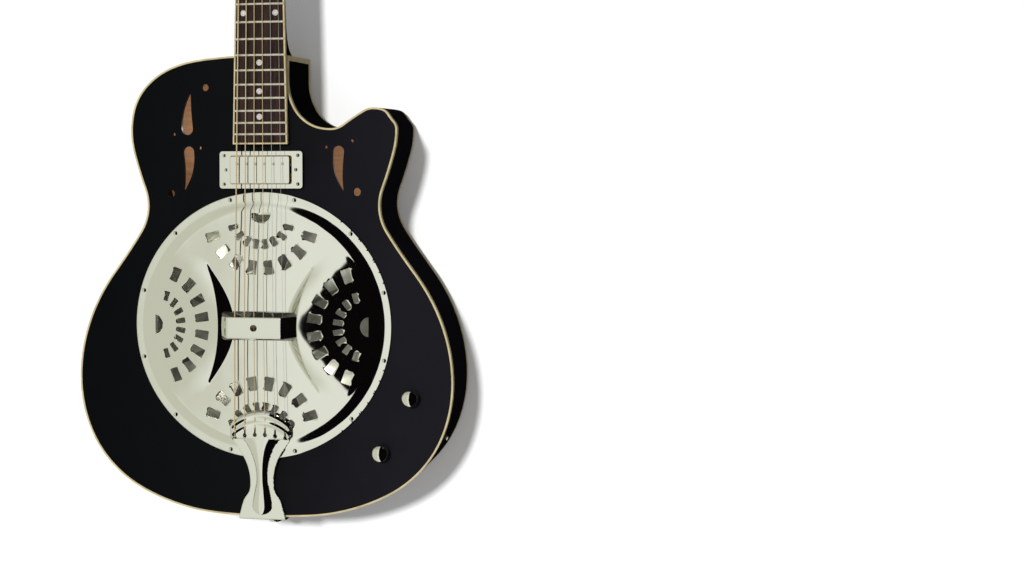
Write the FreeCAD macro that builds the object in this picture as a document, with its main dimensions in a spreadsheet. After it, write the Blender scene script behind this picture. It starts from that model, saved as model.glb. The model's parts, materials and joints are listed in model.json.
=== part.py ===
"""Resonator guitar: every sub-part is an object of one parametric document, in millimetres.

The guitar stands upright: +Z runs up the neck, +X points to the treble side and -Y is the front.
The origin is where the end strap button's axis meets the tail of the rim, at half the body's depth.
"""
import FreeCAD, Part, Sketcher
import math
import os
import re
from FreeCAD import Placement, Rotation, Vector

SIZES = (
    # body
    ("body_length", 493, "tail to neck joint"),
    ("body_depth", 84, "front plane to back plane"),
    ("lower_bout_width", 415, ""),
    ("lower_bout_level", 146, "height of the widest point above the tail"),
    ("waist_width", 259, ""),
    ("waist_level", 332, ""),
    ("upper_bout_width", 297, ""),
    ("upper_bout_level", 413, ""),
    ("cutaway_edge", 28.6, "distance of the cutaway's straight edge from the centre line"),
    ("cutaway_reach", 76, "distance of the cutaway's lowest point from the centre line"),
    ("cutaway_level", 414.5, ""),
    ("horn_reach", 122.5, ""),
    ("horn_level", 436.3, ""),
    ("rim_thickness", 1.9, "sides and bindings"),
    ("binding_height", 6, ""),
    ("shoulder_height", 5.5, "light strip at the end of the cutaway"),
    ("top_thickness", 3.6, ""),
    ("back_thickness", 3, ""),
    ("lining_width", 6, ""),
    ("lining_height", 12, ""),
    ("neck_block_length", 50, ""),
    ("tail_block_length", 20, ""),
    ("tail_block_width", 70, ""),
    # resonator
    ("saddle_level", 204.5, "saddle and coverplate centre above the tail"),
    ("plate_radius", 142, ""),
    ("plate_edge", 3.8, "screw circle inside the coverplate's edge"),
    ("flange_width", 12, ""),
    ("plate_thickness", 1, ""),
    ("dome_height", 8, "coverplate's centre above the soundboard"),
    ("lobe_rise", 15, "lobe above its base"),
    ("lobe_radius", 74, "lobe's cap at its base"),
    ("opening_gap", 7.6, "opening's edge inside the coverplate's edge"),
    ("cone_gap", 0.8, "cone's rim inside the opening"),
    ("ledge_width", 9, "soundwell ring inside the opening"),
    ("well_wall", 7, "soundwell ring outside the opening"),
    ("port_radius", 13, ""),
    ("cone_thickness", 0.8, ""),
    ("cone_depth", 24, ""),
    ("slot_length", 14.9, "outer row of the fans"),
    ("slot_width", 9.1, ""),
    ("small_slot_length", 10.6, "inner row of the fans"),
    ("small_slot_width", 5.3, ""),
    ("outer_row_radius", 52, ""),
    ("inner_row_radius", 27.5, ""),
    ("fan_reach", 113, "fan centre from the plate's centre"),
    ("palm_width", 22.4, ""),
    ("palm_height", 30, ""),
    ("palm_half_top", 29, ""),
    ("palm_half_foot", 46, ""),
    ("palm_thickness", 1.6, ""),
    # neck
    ("scale_length", 648, "nut to saddle"),
    ("fret_count", 20, ""),
    ("board_thickness", 5.5, ""),
    ("board_lift", 3.1, "neck tongue under the board"),
    ("board_overhang", 10.7, "board beyond the last fret"),
    ("board_width_nut", 43.5, ""),
    ("board_width_end", 60.5, ""),
    ("board_binding", 1.6, ""),
    ("camber_radius", 305, ""),
    ("fret_height", 1.1, ""),
    ("fret_width", 2.4, ""),
    ("dot_radius", 3.2, ""),
    ("dot_depth", 1.5, ""),
    ("double_dot_spacing", 35.6, ""),
    ("nut_length", 5.5, ""),
    ("nut_rise", 2.2, ""),
    ("neck_depth_nut", 15.5, ""),
    ("neck_depth_heel", 17.5, ""),
    ("heel_depth", 70, ""),
    ("head_angle", 13.5, ""),
    ("head_length", 180, ""),
    ("head_crown", 3.2, "arch of the headstock's top edge"),
    ("head_width_top", 70, ""),
    ("head_width_low", 64, ""),
    ("head_thickness", 14.5, ""),
    ("rod_radius", 3, ""),
    # strings
    ("string_spread_nut", 35.8, ""),
    ("string_spread_saddle", 53, ""),
    ("string_spread_tail", 56, ""),
    ("string_height_nut", 1, "string's underside above the board at the nut"),
    ("string_height_saddle", 4.2, "string's underside above the board's plane at the saddle"),
    # tuners
    ("post_radius", 3, ""),
    ("post_height", 9.6, ""),
    ("post_spacing", 41.6, ""),
    ("post_pitch", 40.2, ""),
    ("first_post", 55.8, "lowest post above the nut, along the headstock"),
    ("bushing_radius", 4.9, ""),
    ("washer_radius", 6.6, ""),
    ("washer_thickness", 1.4, ""),
    ("wheel_radius", 5.8, ""),
    ("worm_radius", 2.4, ""),
    ("key_radius", 1.9, ""),
    ("gear_gap", 0.35, ""),
    ("housing_depth", 9.6, ""),
    ("housing_width", 16, ""),
    ("button_radius", 8.9, ""),
    ("button_width", 13.4, ""),
    ("button_thickness", 5.6, ""),
    ("button_reach", 47.3, ""),
    # pickup
    ("pickup_gap", 7.5, "fretboard end to pickup ring"),
    ("ring_width", 92, ""),
    ("ring_height", 39.8, ""),
    ("ring_rise", 4.5, ""),
    ("cover_width", 67, ""),
    ("cover_height", 29.3, ""),
    ("cover_rise", 8.2, "pickup cover above the soundboard at rest"),
    ("cover_depth", 18, ""),
    ("cover_wall", 0.6, ""),
    ("cover_gap", 0.8, ""),
    ("pole_pitch", 10.1, ""),
    ("height_screw_spacing", 77.7, ""),
    # controls and fittings
    ("knob_radius", 9, ""),
    ("knob_height", 15, ""),
    ("volume_x", 162.7, ""),
    ("volume_z", 130.6, ""),
    ("tone_x", 130.3, ""),
    ("tone_z", 72.4, ""),
    ("pot_radius", 8.5, ""),
    ("pot_bushing_radius", 3.5, ""),
    ("pot_shaft_radius", 3, ""),
    ("jack_level", 85, ""),
    ("jack_bore", 3.2, ""),
    ("jack_barrel", 5, ""),
    ("jack_plate_radius", 7, ""),
    ("button_screw_radius", 2.2, ""),
    ("tail_width_top", 66, ""),
    ("tail_width_stem", 26, ""),
    ("tail_width_foot", 51, ""),
    ("tail_length", 114.4, ""),
    ("tail_thickness", 1.8, ""),
    ("tail_fold", 56, "length of the tailpiece's fold over the tail"),
    ("running_clearance", 0.05, "shaft in hole, on the radius"),
    ("free_clearance", 0.5, "pieces that only pass one another"),
)

doc = FreeCAD.newDocument("ResonatorGuitar")
sheet = doc.addObject("Spreadsheet::Sheet", "Sizes")
for row, (alias, value, note) in enumerate(SIZES, start=1):
    sheet.set(f"A{row}", alias)
    sheet.set(f"B{row}", str(value))
    sheet.setAlias(f"B{row}", alias)
    if note:
        sheet.set(f"C{row}", note)
doc.recompute()
s = {alias: float(sheet.get(alias)) for alias, _, _ in SIZES}

# Places worked out from the sheet
FRONT = -s["body_depth"] / 2
BACK = s["body_depth"] / 2
PLATE = Vector(0, FRONT, s["saddle_level"])
BOARD_UNDER = FRONT - s["board_lift"]
BOARD_TOP = BOARD_UNDER - s["board_thickness"]
NUT_LEVEL = s["saddle_level"] + s["scale_length"]
BOARD_END = NUT_LEVEL - s["scale_length"] * (1 - 2 ** (-s["fret_count"] / 12)) - s["board_overhang"]
PICKUP_LEVEL = BOARD_END - s["pickup_gap"] - s["ring_height"] / 2
OPENING_RADIUS = s["plate_radius"] - s["opening_gap"]
LEDGE_RADIUS = OPENING_RADIUS - s["ledge_width"]
SCREW_CIRCLE = s["plate_radius"] - s["plate_edge"]
GEAR_DISTANCE = s["wheel_radius"] + s["worm_radius"] + s["gear_gap"]
HEAD = Placement(Vector(0, BOARD_UNDER, NUT_LEVEL + s["nut_length"]),
                 Rotation(Vector(1, 0, 0), -s["head_angle"]))
WOUND_RADII = (0.69, 0.53, 0.41, 0.30)
PLAIN_RADII = (0.20, 0.15)
STRING_RADII = WOUND_RADII + PLAIN_RADII
SCREW_RADIUS = 1.3
ROD_PAST_NUT = 2.5
ROD_POCKET = 15.0
X_AXIS = Vector(1, 0, 0)
Y_AXIS = Vector(0, 1, 0)
Z_AXIS = Vector(0, 0, 1)

nodes = []


# Document helpers

def bound(text):
    """An expression with every size's name turned into a reference to the sheet."""
    return re.sub(r"[a-z_]{3,}", lambda m: "Sizes." + m.group() if m.group() in s else m.group(), text)


def bind(item, **expressions):
    """Ties an object's properties to the sheet."""
    for name, text in expressions.items():
        item.setExpression(name, bound(text))
    return item


def keep(item, label):
    """Marks an object as a finished sub-part."""
    item.Label = label
    nodes.append(item)
    return item


def feature(label, shape, place=None):
    """A sub-part whose shape is made with Part's own functions."""
    item = doc.addObject("Part::Feature", label)
    item.Shape = shape
    if place is not None:
        item.Placement = place
    return keep(item, label)


def rod(name, radius, length, place):
    """A cylinder along its placement's Z, bound to the sheet."""
    item = doc.addObject("Part::Cylinder", name)
    bind(item, Radius=radius, Height=length)
    item.Placement = place
    return item


def combine(kind, name, base, tools):
    """A boolean of document objects: Cut, MultiFuse or MultiCommon."""
    if kind == "Cut":
        if len(tools) > 1:
            tools = [combine("MultiFuse", name + "_tools", None, tools)]
        item = doc.addObject("Part::Cut", name)
        item.Base = base
        item.Tool = tools[0]
        return item
    item = doc.addObject("Part::" + kind, name)
    item.Shapes = ([base] if base else []) + list(tools)
    return item


def facing(x, y, z, direction):
    """A placement at a point, with Z turned to a direction."""
    return Placement(Vector(x, y, z), Rotation(Z_AXIS, direction))


def sketch_on(body, role, name):
    """An empty sketch on one of the body's own origin planes."""
    sketch = body.newObject("Sketcher::SketchObject", name)
    plane = next(f for f in body.Origin.OriginFeatures if f.Role == role)
    sketch.AttachmentSupport = [(plane, "")]
    sketch.MapMode = "FlatFace"
    return sketch


def polygon(sketch, points):
    """A closed polygon whose corners are all bound to the sheet, as pairs of expressions."""
    count = len(points)
    corners = [Vector(10 + 3 * i, 5 + (i % 3) * 7 + i, 0) for i in range(count)]
    for i in range(count):
        sketch.addGeometry(Part.LineSegment(corners[i], corners[(i + 1) % count]), False)
    for i in range(count):
        sketch.addConstraint(Sketcher.Constraint("Coincident", i, 2, (i + 1) % count, 1))
    for i, pair in enumerate(points):
        for kind, text, start in zip(("DistanceX", "DistanceY"), pair, corners[i]):
            index = sketch.addConstraint(Sketcher.Constraint(kind, -1, 1, i, 1, start))
            sketch.setExpression(f"Constraints[{index}]", bound(text))


def turned(label, points, place):
    """A PartDesign revolution of an (radius, height) profile about the body's own Z."""
    body = doc.addObject("PartDesign::Body", label)
    sketch = sketch_on(body, "XZ_Plane", label + "_profile")
    polygon(sketch, points)
    turn = body.newObject("PartDesign::Revolution", label + "_turn")
    turn.Profile = sketch
    turn.ReferenceAxis = (sketch, ["V_Axis"])
    turn.Angle = 360
    body.Placement = place
    return body


# Shape helpers

def arc_to(start, control, end):
    """The arc from start to end whose two tangents meet at control."""
    middle = (start + end) * 0.5
    height = control.sub(middle).Length
    if height < 1e-6:
        return Part.LineSegment(start, end).toShape()
    half = end.sub(start).Length / 2
    sag = half * math.tan(math.atan2(height, half) / 2)
    crest = middle + control.sub(middle) * (sag / height)
    return Part.Arc(start, crest, end).toShape()


def biarc(start, end):
    """Two arcs that join two (x, z, heading in degrees) stations smoothly."""
    p0, p1 = (Vector(x, 0, z) for x, z, _ in (start, end))
    t0, t1 = (Vector(math.cos(math.radians(a)), 0, math.sin(math.radians(a))) for _, _, a in (start, end))
    chord = p1.sub(p0)
    along = chord.dot(t0 + t1)
    bend = 2 * (1 - t0.dot(t1))
    if bend < 1e-9:
        reach = chord.dot(chord) / (4 * chord.dot(t0))
    else:
        reach = (math.sqrt(along ** 2 + bend * chord.dot(chord)) - along) / bend
    c0, c1 = p0 + t0 * reach, p1 - t1 * reach
    joint = (c0 + c1) * 0.5
    return [arc_to(p0, c0, joint), arc_to(joint, c1, p1)]


def smooth(stations):
    """The edges through a row of stations."""
    edges = []
    for start, end in zip(stations, stations[1:]):
        edges += biarc(start, end)
    return edges


def face_of(edges):
    """The flat face inside a closed row of edges."""
    return Part.Face(Part.Wire(Part.__sortEdges__(edges)))


def slab(face, near, far):
    """A flat face in the XZ plane made into a plate between two depths."""
    return face.translated(Vector(0, near, 0)).extrude(Vector(0, far - near, 0))


def block(x0, x1, y0, y1, z0, z1):
    """A box between two corners."""
    return Part.makeBox(x1 - x0, y1 - y0, z1 - z0, Vector(x0, y0, z0))


def drill(x, z, radius, near=None, far=None):
    """A hole's cylinder along Y."""
    near = FRONT - 60 if near is None else near
    far = BACK + 60 if far is None else far
    return Part.makeCylinder(radius, far - near, Vector(x, near, z), Y_AXIS)


def union(shapes):
    """One shape from several."""
    first, rest = shapes[0], shapes[1:]
    return first.fuse(rest).removeSplitter() if rest else first


def rounded_plate(width, height, corner, depth, centre):
    """A plate with rounded corners in the XZ plane, from centre.y towards +Y."""
    plate = Part.makeBox(width, depth, height,
                         Vector(centre.x - width / 2, centre.y, centre.z - height / 2))
    upright = [e for e in plate.Edges if abs(e.Vertexes[0].Y - e.Vertexes[1].Y) > depth / 2]
    return plate.makeFillet(corner, upright)


# Body

def body_outline():
    """The rim's outer line: a symmetric tail and waist, a round bass shoulder, a treble cutaway."""
    lower, waist, upper = (s[k] / 2 for k in ("lower_bout_width", "waist_width", "upper_bout_width"))
    low, mid, high = s["lower_bout_level"], s["waist_level"], s["upper_bout_level"]
    top, edge = s["body_length"], s["cutaway_edge"]

    def flank(side):
        """From the tail's centre up to the upper bout's widest point, on one side."""
        steps = ((0, 0, 0), (0.48 * lower, 0.075 * low, 17), (0.81 * lower, 0.333 * low, 44),
                 (lower, low, 90), (0.62 * waist + 0.49 * lower, low + 0.5 * (mid - low), 120),
                 (waist + 0.31 * (lower - waist), mid - 0.28 * (mid - low), 125.5), (waist, mid, 90),
                 (waist + 0.51 * (upper - waist), mid + 0.45 * (high - mid), 72), (upper, high, 90))
        return [(side * x, z, a if side > 0 else 180 - a) for x, z, a in steps]

    bass_run = top - high
    bass = flank(-1) + [(-0.92 * upper, high + 0.53 * bass_run, 54),
                        (-0.70 * upper, high + 0.85 * bass_run, 23),
                        (-0.40 * upper, high + 0.975 * bass_run, 5), (-edge, top, 0)]
    horn, horn_top = s["horn_reach"], s["horn_level"]
    dip, dip_level = s["cutaway_reach"], s["cutaway_level"]
    treble = flank(1) + [(horn + 0.65 * (upper - horn), horn_top - 0.3 * (horn_top - high), 122),
                         (horn, horn_top, 180),
                         (0.58 * horn + 0.42 * dip, 0.62 * horn_top + 0.38 * dip_level, 212),
                         (dip, dip_level, 180), (0.53 * dip + 0.47 * edge, dip_level + 5, 152),
                         (edge + 0.16 * (dip - edge), dip_level + 22.5, 118), (edge, dip_level + 52, 90)]
    corner, shoulder = Vector(edge, 0, top), Vector(-edge, 0, top)
    straight = [Part.LineSegment(Vector(edge, 0, dip_level + 52), corner).toShape(),
                Part.LineSegment(corner, shoulder).toShape()]
    return face_of(smooth(bass) + smooth(treble) + straight)


OUTLINE = body_outline()
INSIDE = OUTLINE.makeOffset2D(-s["rim_thickness"], 2)
LINED = OUTLINE.makeOffset2D(-s["rim_thickness"] - s["lining_width"], 2)


def band(outer, inner, near, far):
    """A strip that follows the rim."""
    return slab(outer, near, far).cut(slab(inner, near, far))


def shoulder_block(margin=0.0):
    """The light strip's box at the end of the cutaway."""
    return block(s["cutaway_edge"] - s["rim_thickness"], s["cutaway_edge"] + margin, FRONT - margin,
                 BACK + margin, s["body_length"] - s["shoulder_height"], s["body_length"] + margin)


def leaf(x, z, radius, tip_x, tip_z, side):
    """A leaf-shaped sound hole: a round head and one bulging side that runs to a tip."""
    down = math.copysign(1, tip_z - z)
    tip = Vector(tip_x, 0, tip_z)
    full, hollow = Vector(x + side * radius, 0, z), Vector(x - side * radius, 0, z)
    middle = z + 0.5 * (tip_z - z)
    bulge = Vector(x + side * radius * 0.72, 0, middle)
    inner = Vector(x - side * radius * 0.72, 0, middle)
    edges = [Part.Arc(hollow, Vector(x, 0, z - down * radius), full).toShape(),
             Part.Arc(full, bulge, tip).toShape(), Part.Arc(tip, inner, hollow).toShape()]
    return slab(face_of(edges), FRONT - 5, FRONT + s["top_thickness"] + 5)


def sound_holes():
    """Leaves, rounds and small dots on both sides of the neck."""
    near, far = FRONT - 5, FRONT + s["top_thickness"] + 5
    rounds = ((-63.9, 459.4, 3.9), (-102.9, 345, 4.3), (104.5, 346.7, 4.3),
              (-99.4, 409, 1.6), (-69.8, 394.2, 1.6), (70.9, 394.4, 1.6), (99.4, 401, 1.6))
    holes = [drill(x, z, r, near, far) for x, z, r in rounds]
    holes += [leaf(-84.2, 414.7, 6.3, -80.2, 455, -1), leaf(-82.8, 389.6, 6.3, -88.6, 346.6, 1),
              leaf(84.4, 389.6, 6.3, 90, 346.6, -1)]
    return holes


def plate_screw_places(radius):
    """Twelve places on a circle around the coverplate's centre, clear of the strings."""
    return [(PLATE.x + radius * math.cos(math.radians(15 + 30 * i)),
             PLATE.z + radius * math.sin(math.radians(15 + 30 * i))) for i in range(12)]


def control_places():
    """Where the two potentiometers stand."""
    return ((s["volume_x"], s["volume_z"]), (s["tone_x"], s["tone_z"]))


def pickup_rout():
    """The hole under the pickup, with room for its height screws."""
    gap = s["cover_gap"] + 0.6
    hole = block(-s["cover_width"] / 2 - gap, s["cover_width"] / 2 + gap, FRONT - 1, FRONT + 40,
                 PICKUP_LEVEL - s["cover_height"] / 2 - gap, PICKUP_LEVEL + s["cover_height"] / 2 + gap)
    ears = [drill(side * s["height_screw_spacing"] / 2, PICKUP_LEVEL, 4.2, FRONT - 1, FRONT + 40)
            for side in (-1, 1)]
    return hole.fuse(ears)


def pickup_ring_screw_places():
    """The ring's four corner screws."""
    return [(i * (s["ring_width"] / 2 - 5), PICKUP_LEVEL + j * (s["ring_height"] / 2 - 4.6))
            for i in (-1, 1) for j in (-1, 1)]


def make_soundboard():
    plate = slab(INSIDE, FRONT, FRONT + s["top_thickness"])
    tools = sound_holes() + [drill(PLATE.x, PLATE.z, OPENING_RADIUS), pickup_rout()]
    tools += [drill(x, z, SCREW_RADIUS) for x, z in plate_screw_places(SCREW_CIRCLE)]
    tools += [drill(x, z, s["pot_bushing_radius"]) for x, z in control_places()]
    tools += [drill(x, z, 1.1) for x, z in pickup_ring_screw_places()]
    feature("soundboard", plate.cut(tools))


def make_back_and_sides():
    feature("back_plate", slab(INSIDE, BACK - s["back_thickness"], BACK))
    wall = band(OUTLINE, INSIDE, FRONT + s["binding_height"], BACK - s["binding_height"])
    wall = wall.cut([shoulder_block(0.01), jack_hole(), tail_hole()])
    reach = s["lower_bout_width"]
    end = block(0, s["cutaway_edge"] - s["rim_thickness"], FRONT, BACK,
                s["body_length"] - s["shoulder_height"], s["body_length"] + 1)
    bass = block(-reach, 0, -reach, reach, -reach, 2 * reach).fuse(end)
    cutaway = block(s["cutaway_edge"] - s["rim_thickness"], s["horn_reach"], FRONT, BACK,
                    s["cutaway_level"] - 10, s["body_length"] + 1)
    feature("side_bass", wall.common(bass))
    feature("side_cutaway", wall.common(cutaway))
    feature("side_treble", wall.cut([bass, cutaway]))
    top = band(OUTLINE, INSIDE, FRONT, FRONT + s["binding_height"])
    back = band(OUTLINE, INSIDE, BACK - s["binding_height"], BACK)
    feature("top_binding", top.cut(shoulder_block(0.01)))
    feature("back_binding", back.cut(shoulder_block(0.01)))
    feature("shoulder_binding", shoulder_block())


def neck_block_box():
    low = s["body_length"] - s["rim_thickness"] - s["neck_block_length"]
    return block(-s["cutaway_edge"], s["cutaway_edge"], FRONT, BACK, low, s["body_length"])


def tail_block_box():
    half = s["tail_block_width"] / 2
    return block(-half, half, FRONT, BACK, -1, s["tail_block_length"])


def make_blocks():
    inner = slab(INSIDE, FRONT + s["top_thickness"], BACK - s["back_thickness"])
    feature("neck_block", inner.common(neck_block_box()))
    feature("tail_block", inner.common(tail_block_box()).cut(tail_hole()))
    front = FRONT + s["top_thickness"]
    back = BACK - s["back_thickness"]
    strips = [band(INSIDE, LINED, front, front + s["lining_height"]),
              band(INSIDE, LINED, back - s["lining_height"], back)]
    strips = [strip.cut([neck_block_box(), tail_block_box()]) for strip in strips]
    feature("linings", Part.makeCompound([solid for strip in strips for solid in strip.Solids]))


# Resonator

def make_soundwell():
    """A plywood ring between the soundboard and the back, with a ledge for the cone and round ports."""
    depth = "body_depth - top_thickness - back_thickness"
    place = Placement(Vector(PLATE.x, FRONT + s["top_thickness"], PLATE.z), Rotation(X_AXIS, -90))
    outer = rod("well_outer", "plate_radius - opening_gap + well_wall", depth, place)
    tools = [rod("well_inner", "plate_radius - opening_gap - ledge_width", depth, place)]
    middle = (FRONT + s["top_thickness"] + BACK - s["back_thickness"]) / 2 + 4
    for i in range(10):
        angle = math.radians(18 + 36 * i)
        away = Vector(math.cos(angle), 0, math.sin(angle))
        tools.append(rod(f"well_port_{i}", "port_radius", "plate_radius * 2",
                         facing(PLATE.x, middle, PLATE.z, away)))
    for i, (x, z) in enumerate(plate_screw_places(SCREW_CIRCLE)):
        place = facing(x, FRONT + s["top_thickness"], z, Y_AXIS)
        tools.append(rod(f"well_pilot_{i}", str(SCREW_RADIUS), "11", place))
    keep(combine("Cut", "well_ring", outer, tools), "soundwell_ring")


def make_cone():
    """A spun cone: a flat rim on the ledge, a dished wall and a small raised centre."""
    rim = "(plate_radius - opening_gap - cone_gap)"
    ledge = "(plate_radius - opening_gap - ledge_width)"
    skin = "cone_thickness"
    outer = ((rim, "0"), (ledge + " - 2", "0"), (ledge + " - 4", "-4"),
             ("plate_radius * 0.42", "-cone_depth"), ("plate_radius * 0.34", "-cone_depth"),
             ("14", "-cone_depth + 13"), ("2.1", "-cone_depth + 14"))
    front = tuple((x, f"{z} + {skin}") for x, z in reversed(outer))
    place = Placement(Vector(PLATE.x, FRONT + s["top_thickness"], PLATE.z), Rotation(X_AXIS, 90))
    keep(turned("resonator_cone", outer + front, place), "resonator_cone")


def bridge_level(rise):
    """A depth measured in front of the cone's seat."""
    return FRONT + s["top_thickness"] - s["cone_thickness"] - rise


SADDLE_GAP = 8.0
SADDLE_THICKNESS = 3.0
BRIDGE_RISE = 12.0


def make_bridge():
    """A cast spider: a hub, eight legs that stand on the cone's rim and a slotted bar for the saddles."""
    seat = bridge_level(0)
    hub = Part.makeCylinder(16, 6, Vector(PLATE.x, seat - 7.5, PLATE.z), Y_AXIS)
    foot = LEDGE_RADIUS - 2.3
    rises = ((10, 7.4), (16, 7.2), (60, 5), (foot, 2.2), (foot, 0), (foot - 5, 0), (60, 2), (16, 1.6),
             (10, 1.6))
    profile = Part.makePolygon([Vector(r, seat - h, 0) for r, h in rises + rises[:1]])
    leg = Part.Face(profile).extrude(Vector(0, 0, 5)).translated(Vector(0, 0, -2.5))
    legs = []
    for i in range(8):
        copy = leg.copy()
        copy.Placement = Placement(Vector(PLATE.x, 0, PLATE.z), Rotation(Y_AXIS, 22.5 + 45 * i))
        legs.append(copy)
    half = s["string_spread_saddle"] / 2 + 3
    bar = block(-half, half, seat - BRIDGE_RISE, seat - 6, PLATE.z - 4.5, PLATE.z + 4.5)
    casting = union([hub, bar] + legs)
    slot = block(-half - 1, half + 1, seat - BRIDGE_RISE - 1, seat - BRIDGE_RISE + 5,
                 PLATE.z - SADDLE_THICKNESS / 2, PLATE.z + SADDLE_THICKNESS / 2)
    casting = casting.cut([slot, drill(PLATE.x, PLATE.z, 2 + s["running_clearance"])])
    feature("spider_bridge", casting)
    make_saddles(half, seat - BRIDGE_RISE + 5)


def make_saddles(half, floor):
    """Two maple saddles, one for each three strings."""
    top = BOARD_TOP - s["string_height_saddle"]
    halves = []
    for side in (-1, 1):
        x0, x1 = sorted((side * SADDLE_GAP / 2, side * half))
        halves.append(block(x0, x1, top, floor, PLATE.z - SADDLE_THICKNESS / 2,
                            PLATE.z + SADDLE_THICKNESS / 2))
    feature("bridge_saddles", Part.makeCompound(halves))


def make_tension_screw():
    """The screw that draws the bridge against the cone's centre, with its nut behind the cone."""
    top = bridge_level(BRIDGE_RISE)
    nut = FRONT + s["top_thickness"] + s["cone_depth"] - 14 + 0.2 - top
    points = (("0", "-1.8"), ("2.2", "-1.8"), ("3.2", "-0.9"), ("3.2", "0"), ("2", "0"), ("2", f"{nut}"),
              ("3.4", f"{nut}"), ("3.4", f"{nut + 2.6}"), ("2", f"{nut + 2.6}"), ("2", f"{nut + 4}"),
              ("0", f"{nut + 4}"))
    keep(turned("tension_screw", points, facing(PLATE.x, top, PLATE.z, Y_AXIS)), "tension_screw")


def fan_slots():
    """The coverplate's four fans: two rows of slots that look at the centre, and a half moon each."""
    tools = []
    near, far = FRONT - 40, FRONT + 10
    for quarter in range(4):
        turn = math.radians(90 * quarter)
        cx = PLATE.x + s["fan_reach"] * math.cos(turn)
        cz = PLATE.z + s["fan_reach"] * math.sin(turn)
        rows = ((s["outer_row_radius"], s["slot_length"], s["slot_width"]),
                (s["inner_row_radius"], s["small_slot_length"], s["small_slot_width"]))
        for radius, length, width in rows:
            for step in range(8):
                angle = 90 * quarter + 180 - 70 + 20 * step
                slot = Part.makeBox(length, far - near, width, Vector(radius - length / 2, near, -width / 2))
                slot.Placement = Placement(Vector(cx, 0, cz), Rotation(Y_AXIS, -angle))
                tools.append(slot)
        moon = Part.makeCylinder(10, far - near, Vector(cx, near, cz), Y_AXIS)
        keep_side = Part.makeBox(12, far - near, 24, Vector(-12, near, -12))
        keep_side.Placement = Placement(Vector(cx, 0, cz), Rotation(Y_AXIS, -90 * quarter))
        tools.append(moon.common(keep_side))
    return tools


def dome(lift):
    """The solid under the coverplate's flange and dome, raised by lift."""
    flange = s["plate_radius"] - s["flange_width"]
    rise = s["dome_height"] - s["plate_thickness"]
    rim = 3.0
    points = [Vector(0, -60, 0), Vector(s["plate_radius"], -60, 0), Vector(s["plate_radius"], lift, 0),
              Vector(flange, lift, 0), Vector(flange - 3, rim + lift, 0)]
    edges = [Part.LineSegment(a, b).toShape() for a, b in zip(points, points[1:])]
    half = (flange - 3) / 2
    crest = Vector(half, rim + 0.75 * (rise - rim) + lift, 0)
    edges.append(Part.Arc(points[-1], crest, Vector(0, rise + lift, 0)).toShape())
    edges.append(Part.LineSegment(Vector(0, rise + lift, 0), points[0]).toShape())
    solid = Part.Face(Part.Wire(edges)).revolve(Vector(0, 0, 0), Y_AXIS, 360)
    solid.Placement = Placement(PLATE, Rotation(X_AXIS, 180))
    return solid


def lobe(side, lift):
    """A raised cap beside the strings: a ball's cap with an arched wall towards the centre."""
    spring, base = 3.5, s["lobe_radius"]
    ball = (base ** 2 + s["lobe_rise"] ** 2) / (2 * s["lobe_rise"])
    centre = Vector(PLATE.x + side * 92, FRONT - spring - s["lobe_rise"] + ball, PLATE.z)
    cap = Part.makeSphere(ball + lift, centre)
    wall = Part.makeCylinder(160.6 + lift, 60, Vector(PLATE.x + side * 204.5, FRONT - 40, PLATE.z), Y_AXIS)
    limit = Part.makeCylinder(s["plate_radius"] - s["flange_width"] - 6 + lift, 60,
                              Vector(PLATE.x, FRONT - 40, PLATE.z), Y_AXIS)
    front = block(-200, 200, FRONT - 40, FRONT + 20, 0, 2 * s["saddle_level"])
    return cap.common(wall).common(limit).common(front)


def make_coverplate():
    """A stamped plate with two lobes, four fans of slots and an opening over the bridge."""
    skin = s["plate_thickness"]
    outer = dome(skin).fuse([lobe(side, skin) for side in (-1, 1)])
    inner = dome(0).fuse([lobe(side, 0) for side in (-1, 1)])
    front = block(-200, 200, FRONT - 40, FRONT, 0, 2 * s["saddle_level"])
    shell = outer.common(front).cut(inner)
    mouth = block(-s["palm_half_foot"] + 6, s["palm_half_foot"] - 6, FRONT - 60, FRONT + 5,
                  PLATE.z - s["palm_width"] / 2 - 3.6, PLATE.z + s["palm_width"] / 2 + 3.6)
    tools = fan_slots() + [mouth]
    tools += [drill(x, z, SCREW_RADIUS, FRONT - 5, FRONT + 1) for x, z in plate_screw_places(SCREW_CIRCLE)]
    feature("coverplate", shell.cut(tools))


def make_palm_rest():
    """A bent strap over the strings that stands on both lobes, with a hole above the tension screw."""
    foot, top, skin = s["palm_half_foot"], s["palm_half_top"], s["palm_thickness"]
    high, low = FRONT - s["palm_height"], FRONT - 8
    slope = (foot - top) / 12
    reach = top + slope * (low - high)
    outer = [(-reach, low), (-top, high), (top, high), (reach, low)]
    inner = [(reach - skin * 1.9, low), (top - skin * 0.5, high + skin),
             (-top + skin * 0.5, high + skin), (-reach + skin * 1.9, low)]
    points = [Vector(x, y, 0) for x, y in outer + inner]
    strap = Part.Face(Part.makePolygon(points + points[:1])).extrude(Vector(0, 0, s["palm_width"]))
    strap.translate(Vector(0, 0, PLATE.z - s["palm_width"] / 2))
    plate = dome(s["plate_thickness"]).fuse([lobe(side, s["plate_thickness"]) for side in (-1, 1)])
    hole = drill(PLATE.x, PLATE.z, 3.6, high - 5, high + 5)
    feature("palm_rest", strap.cut([plate, hole]))


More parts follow.
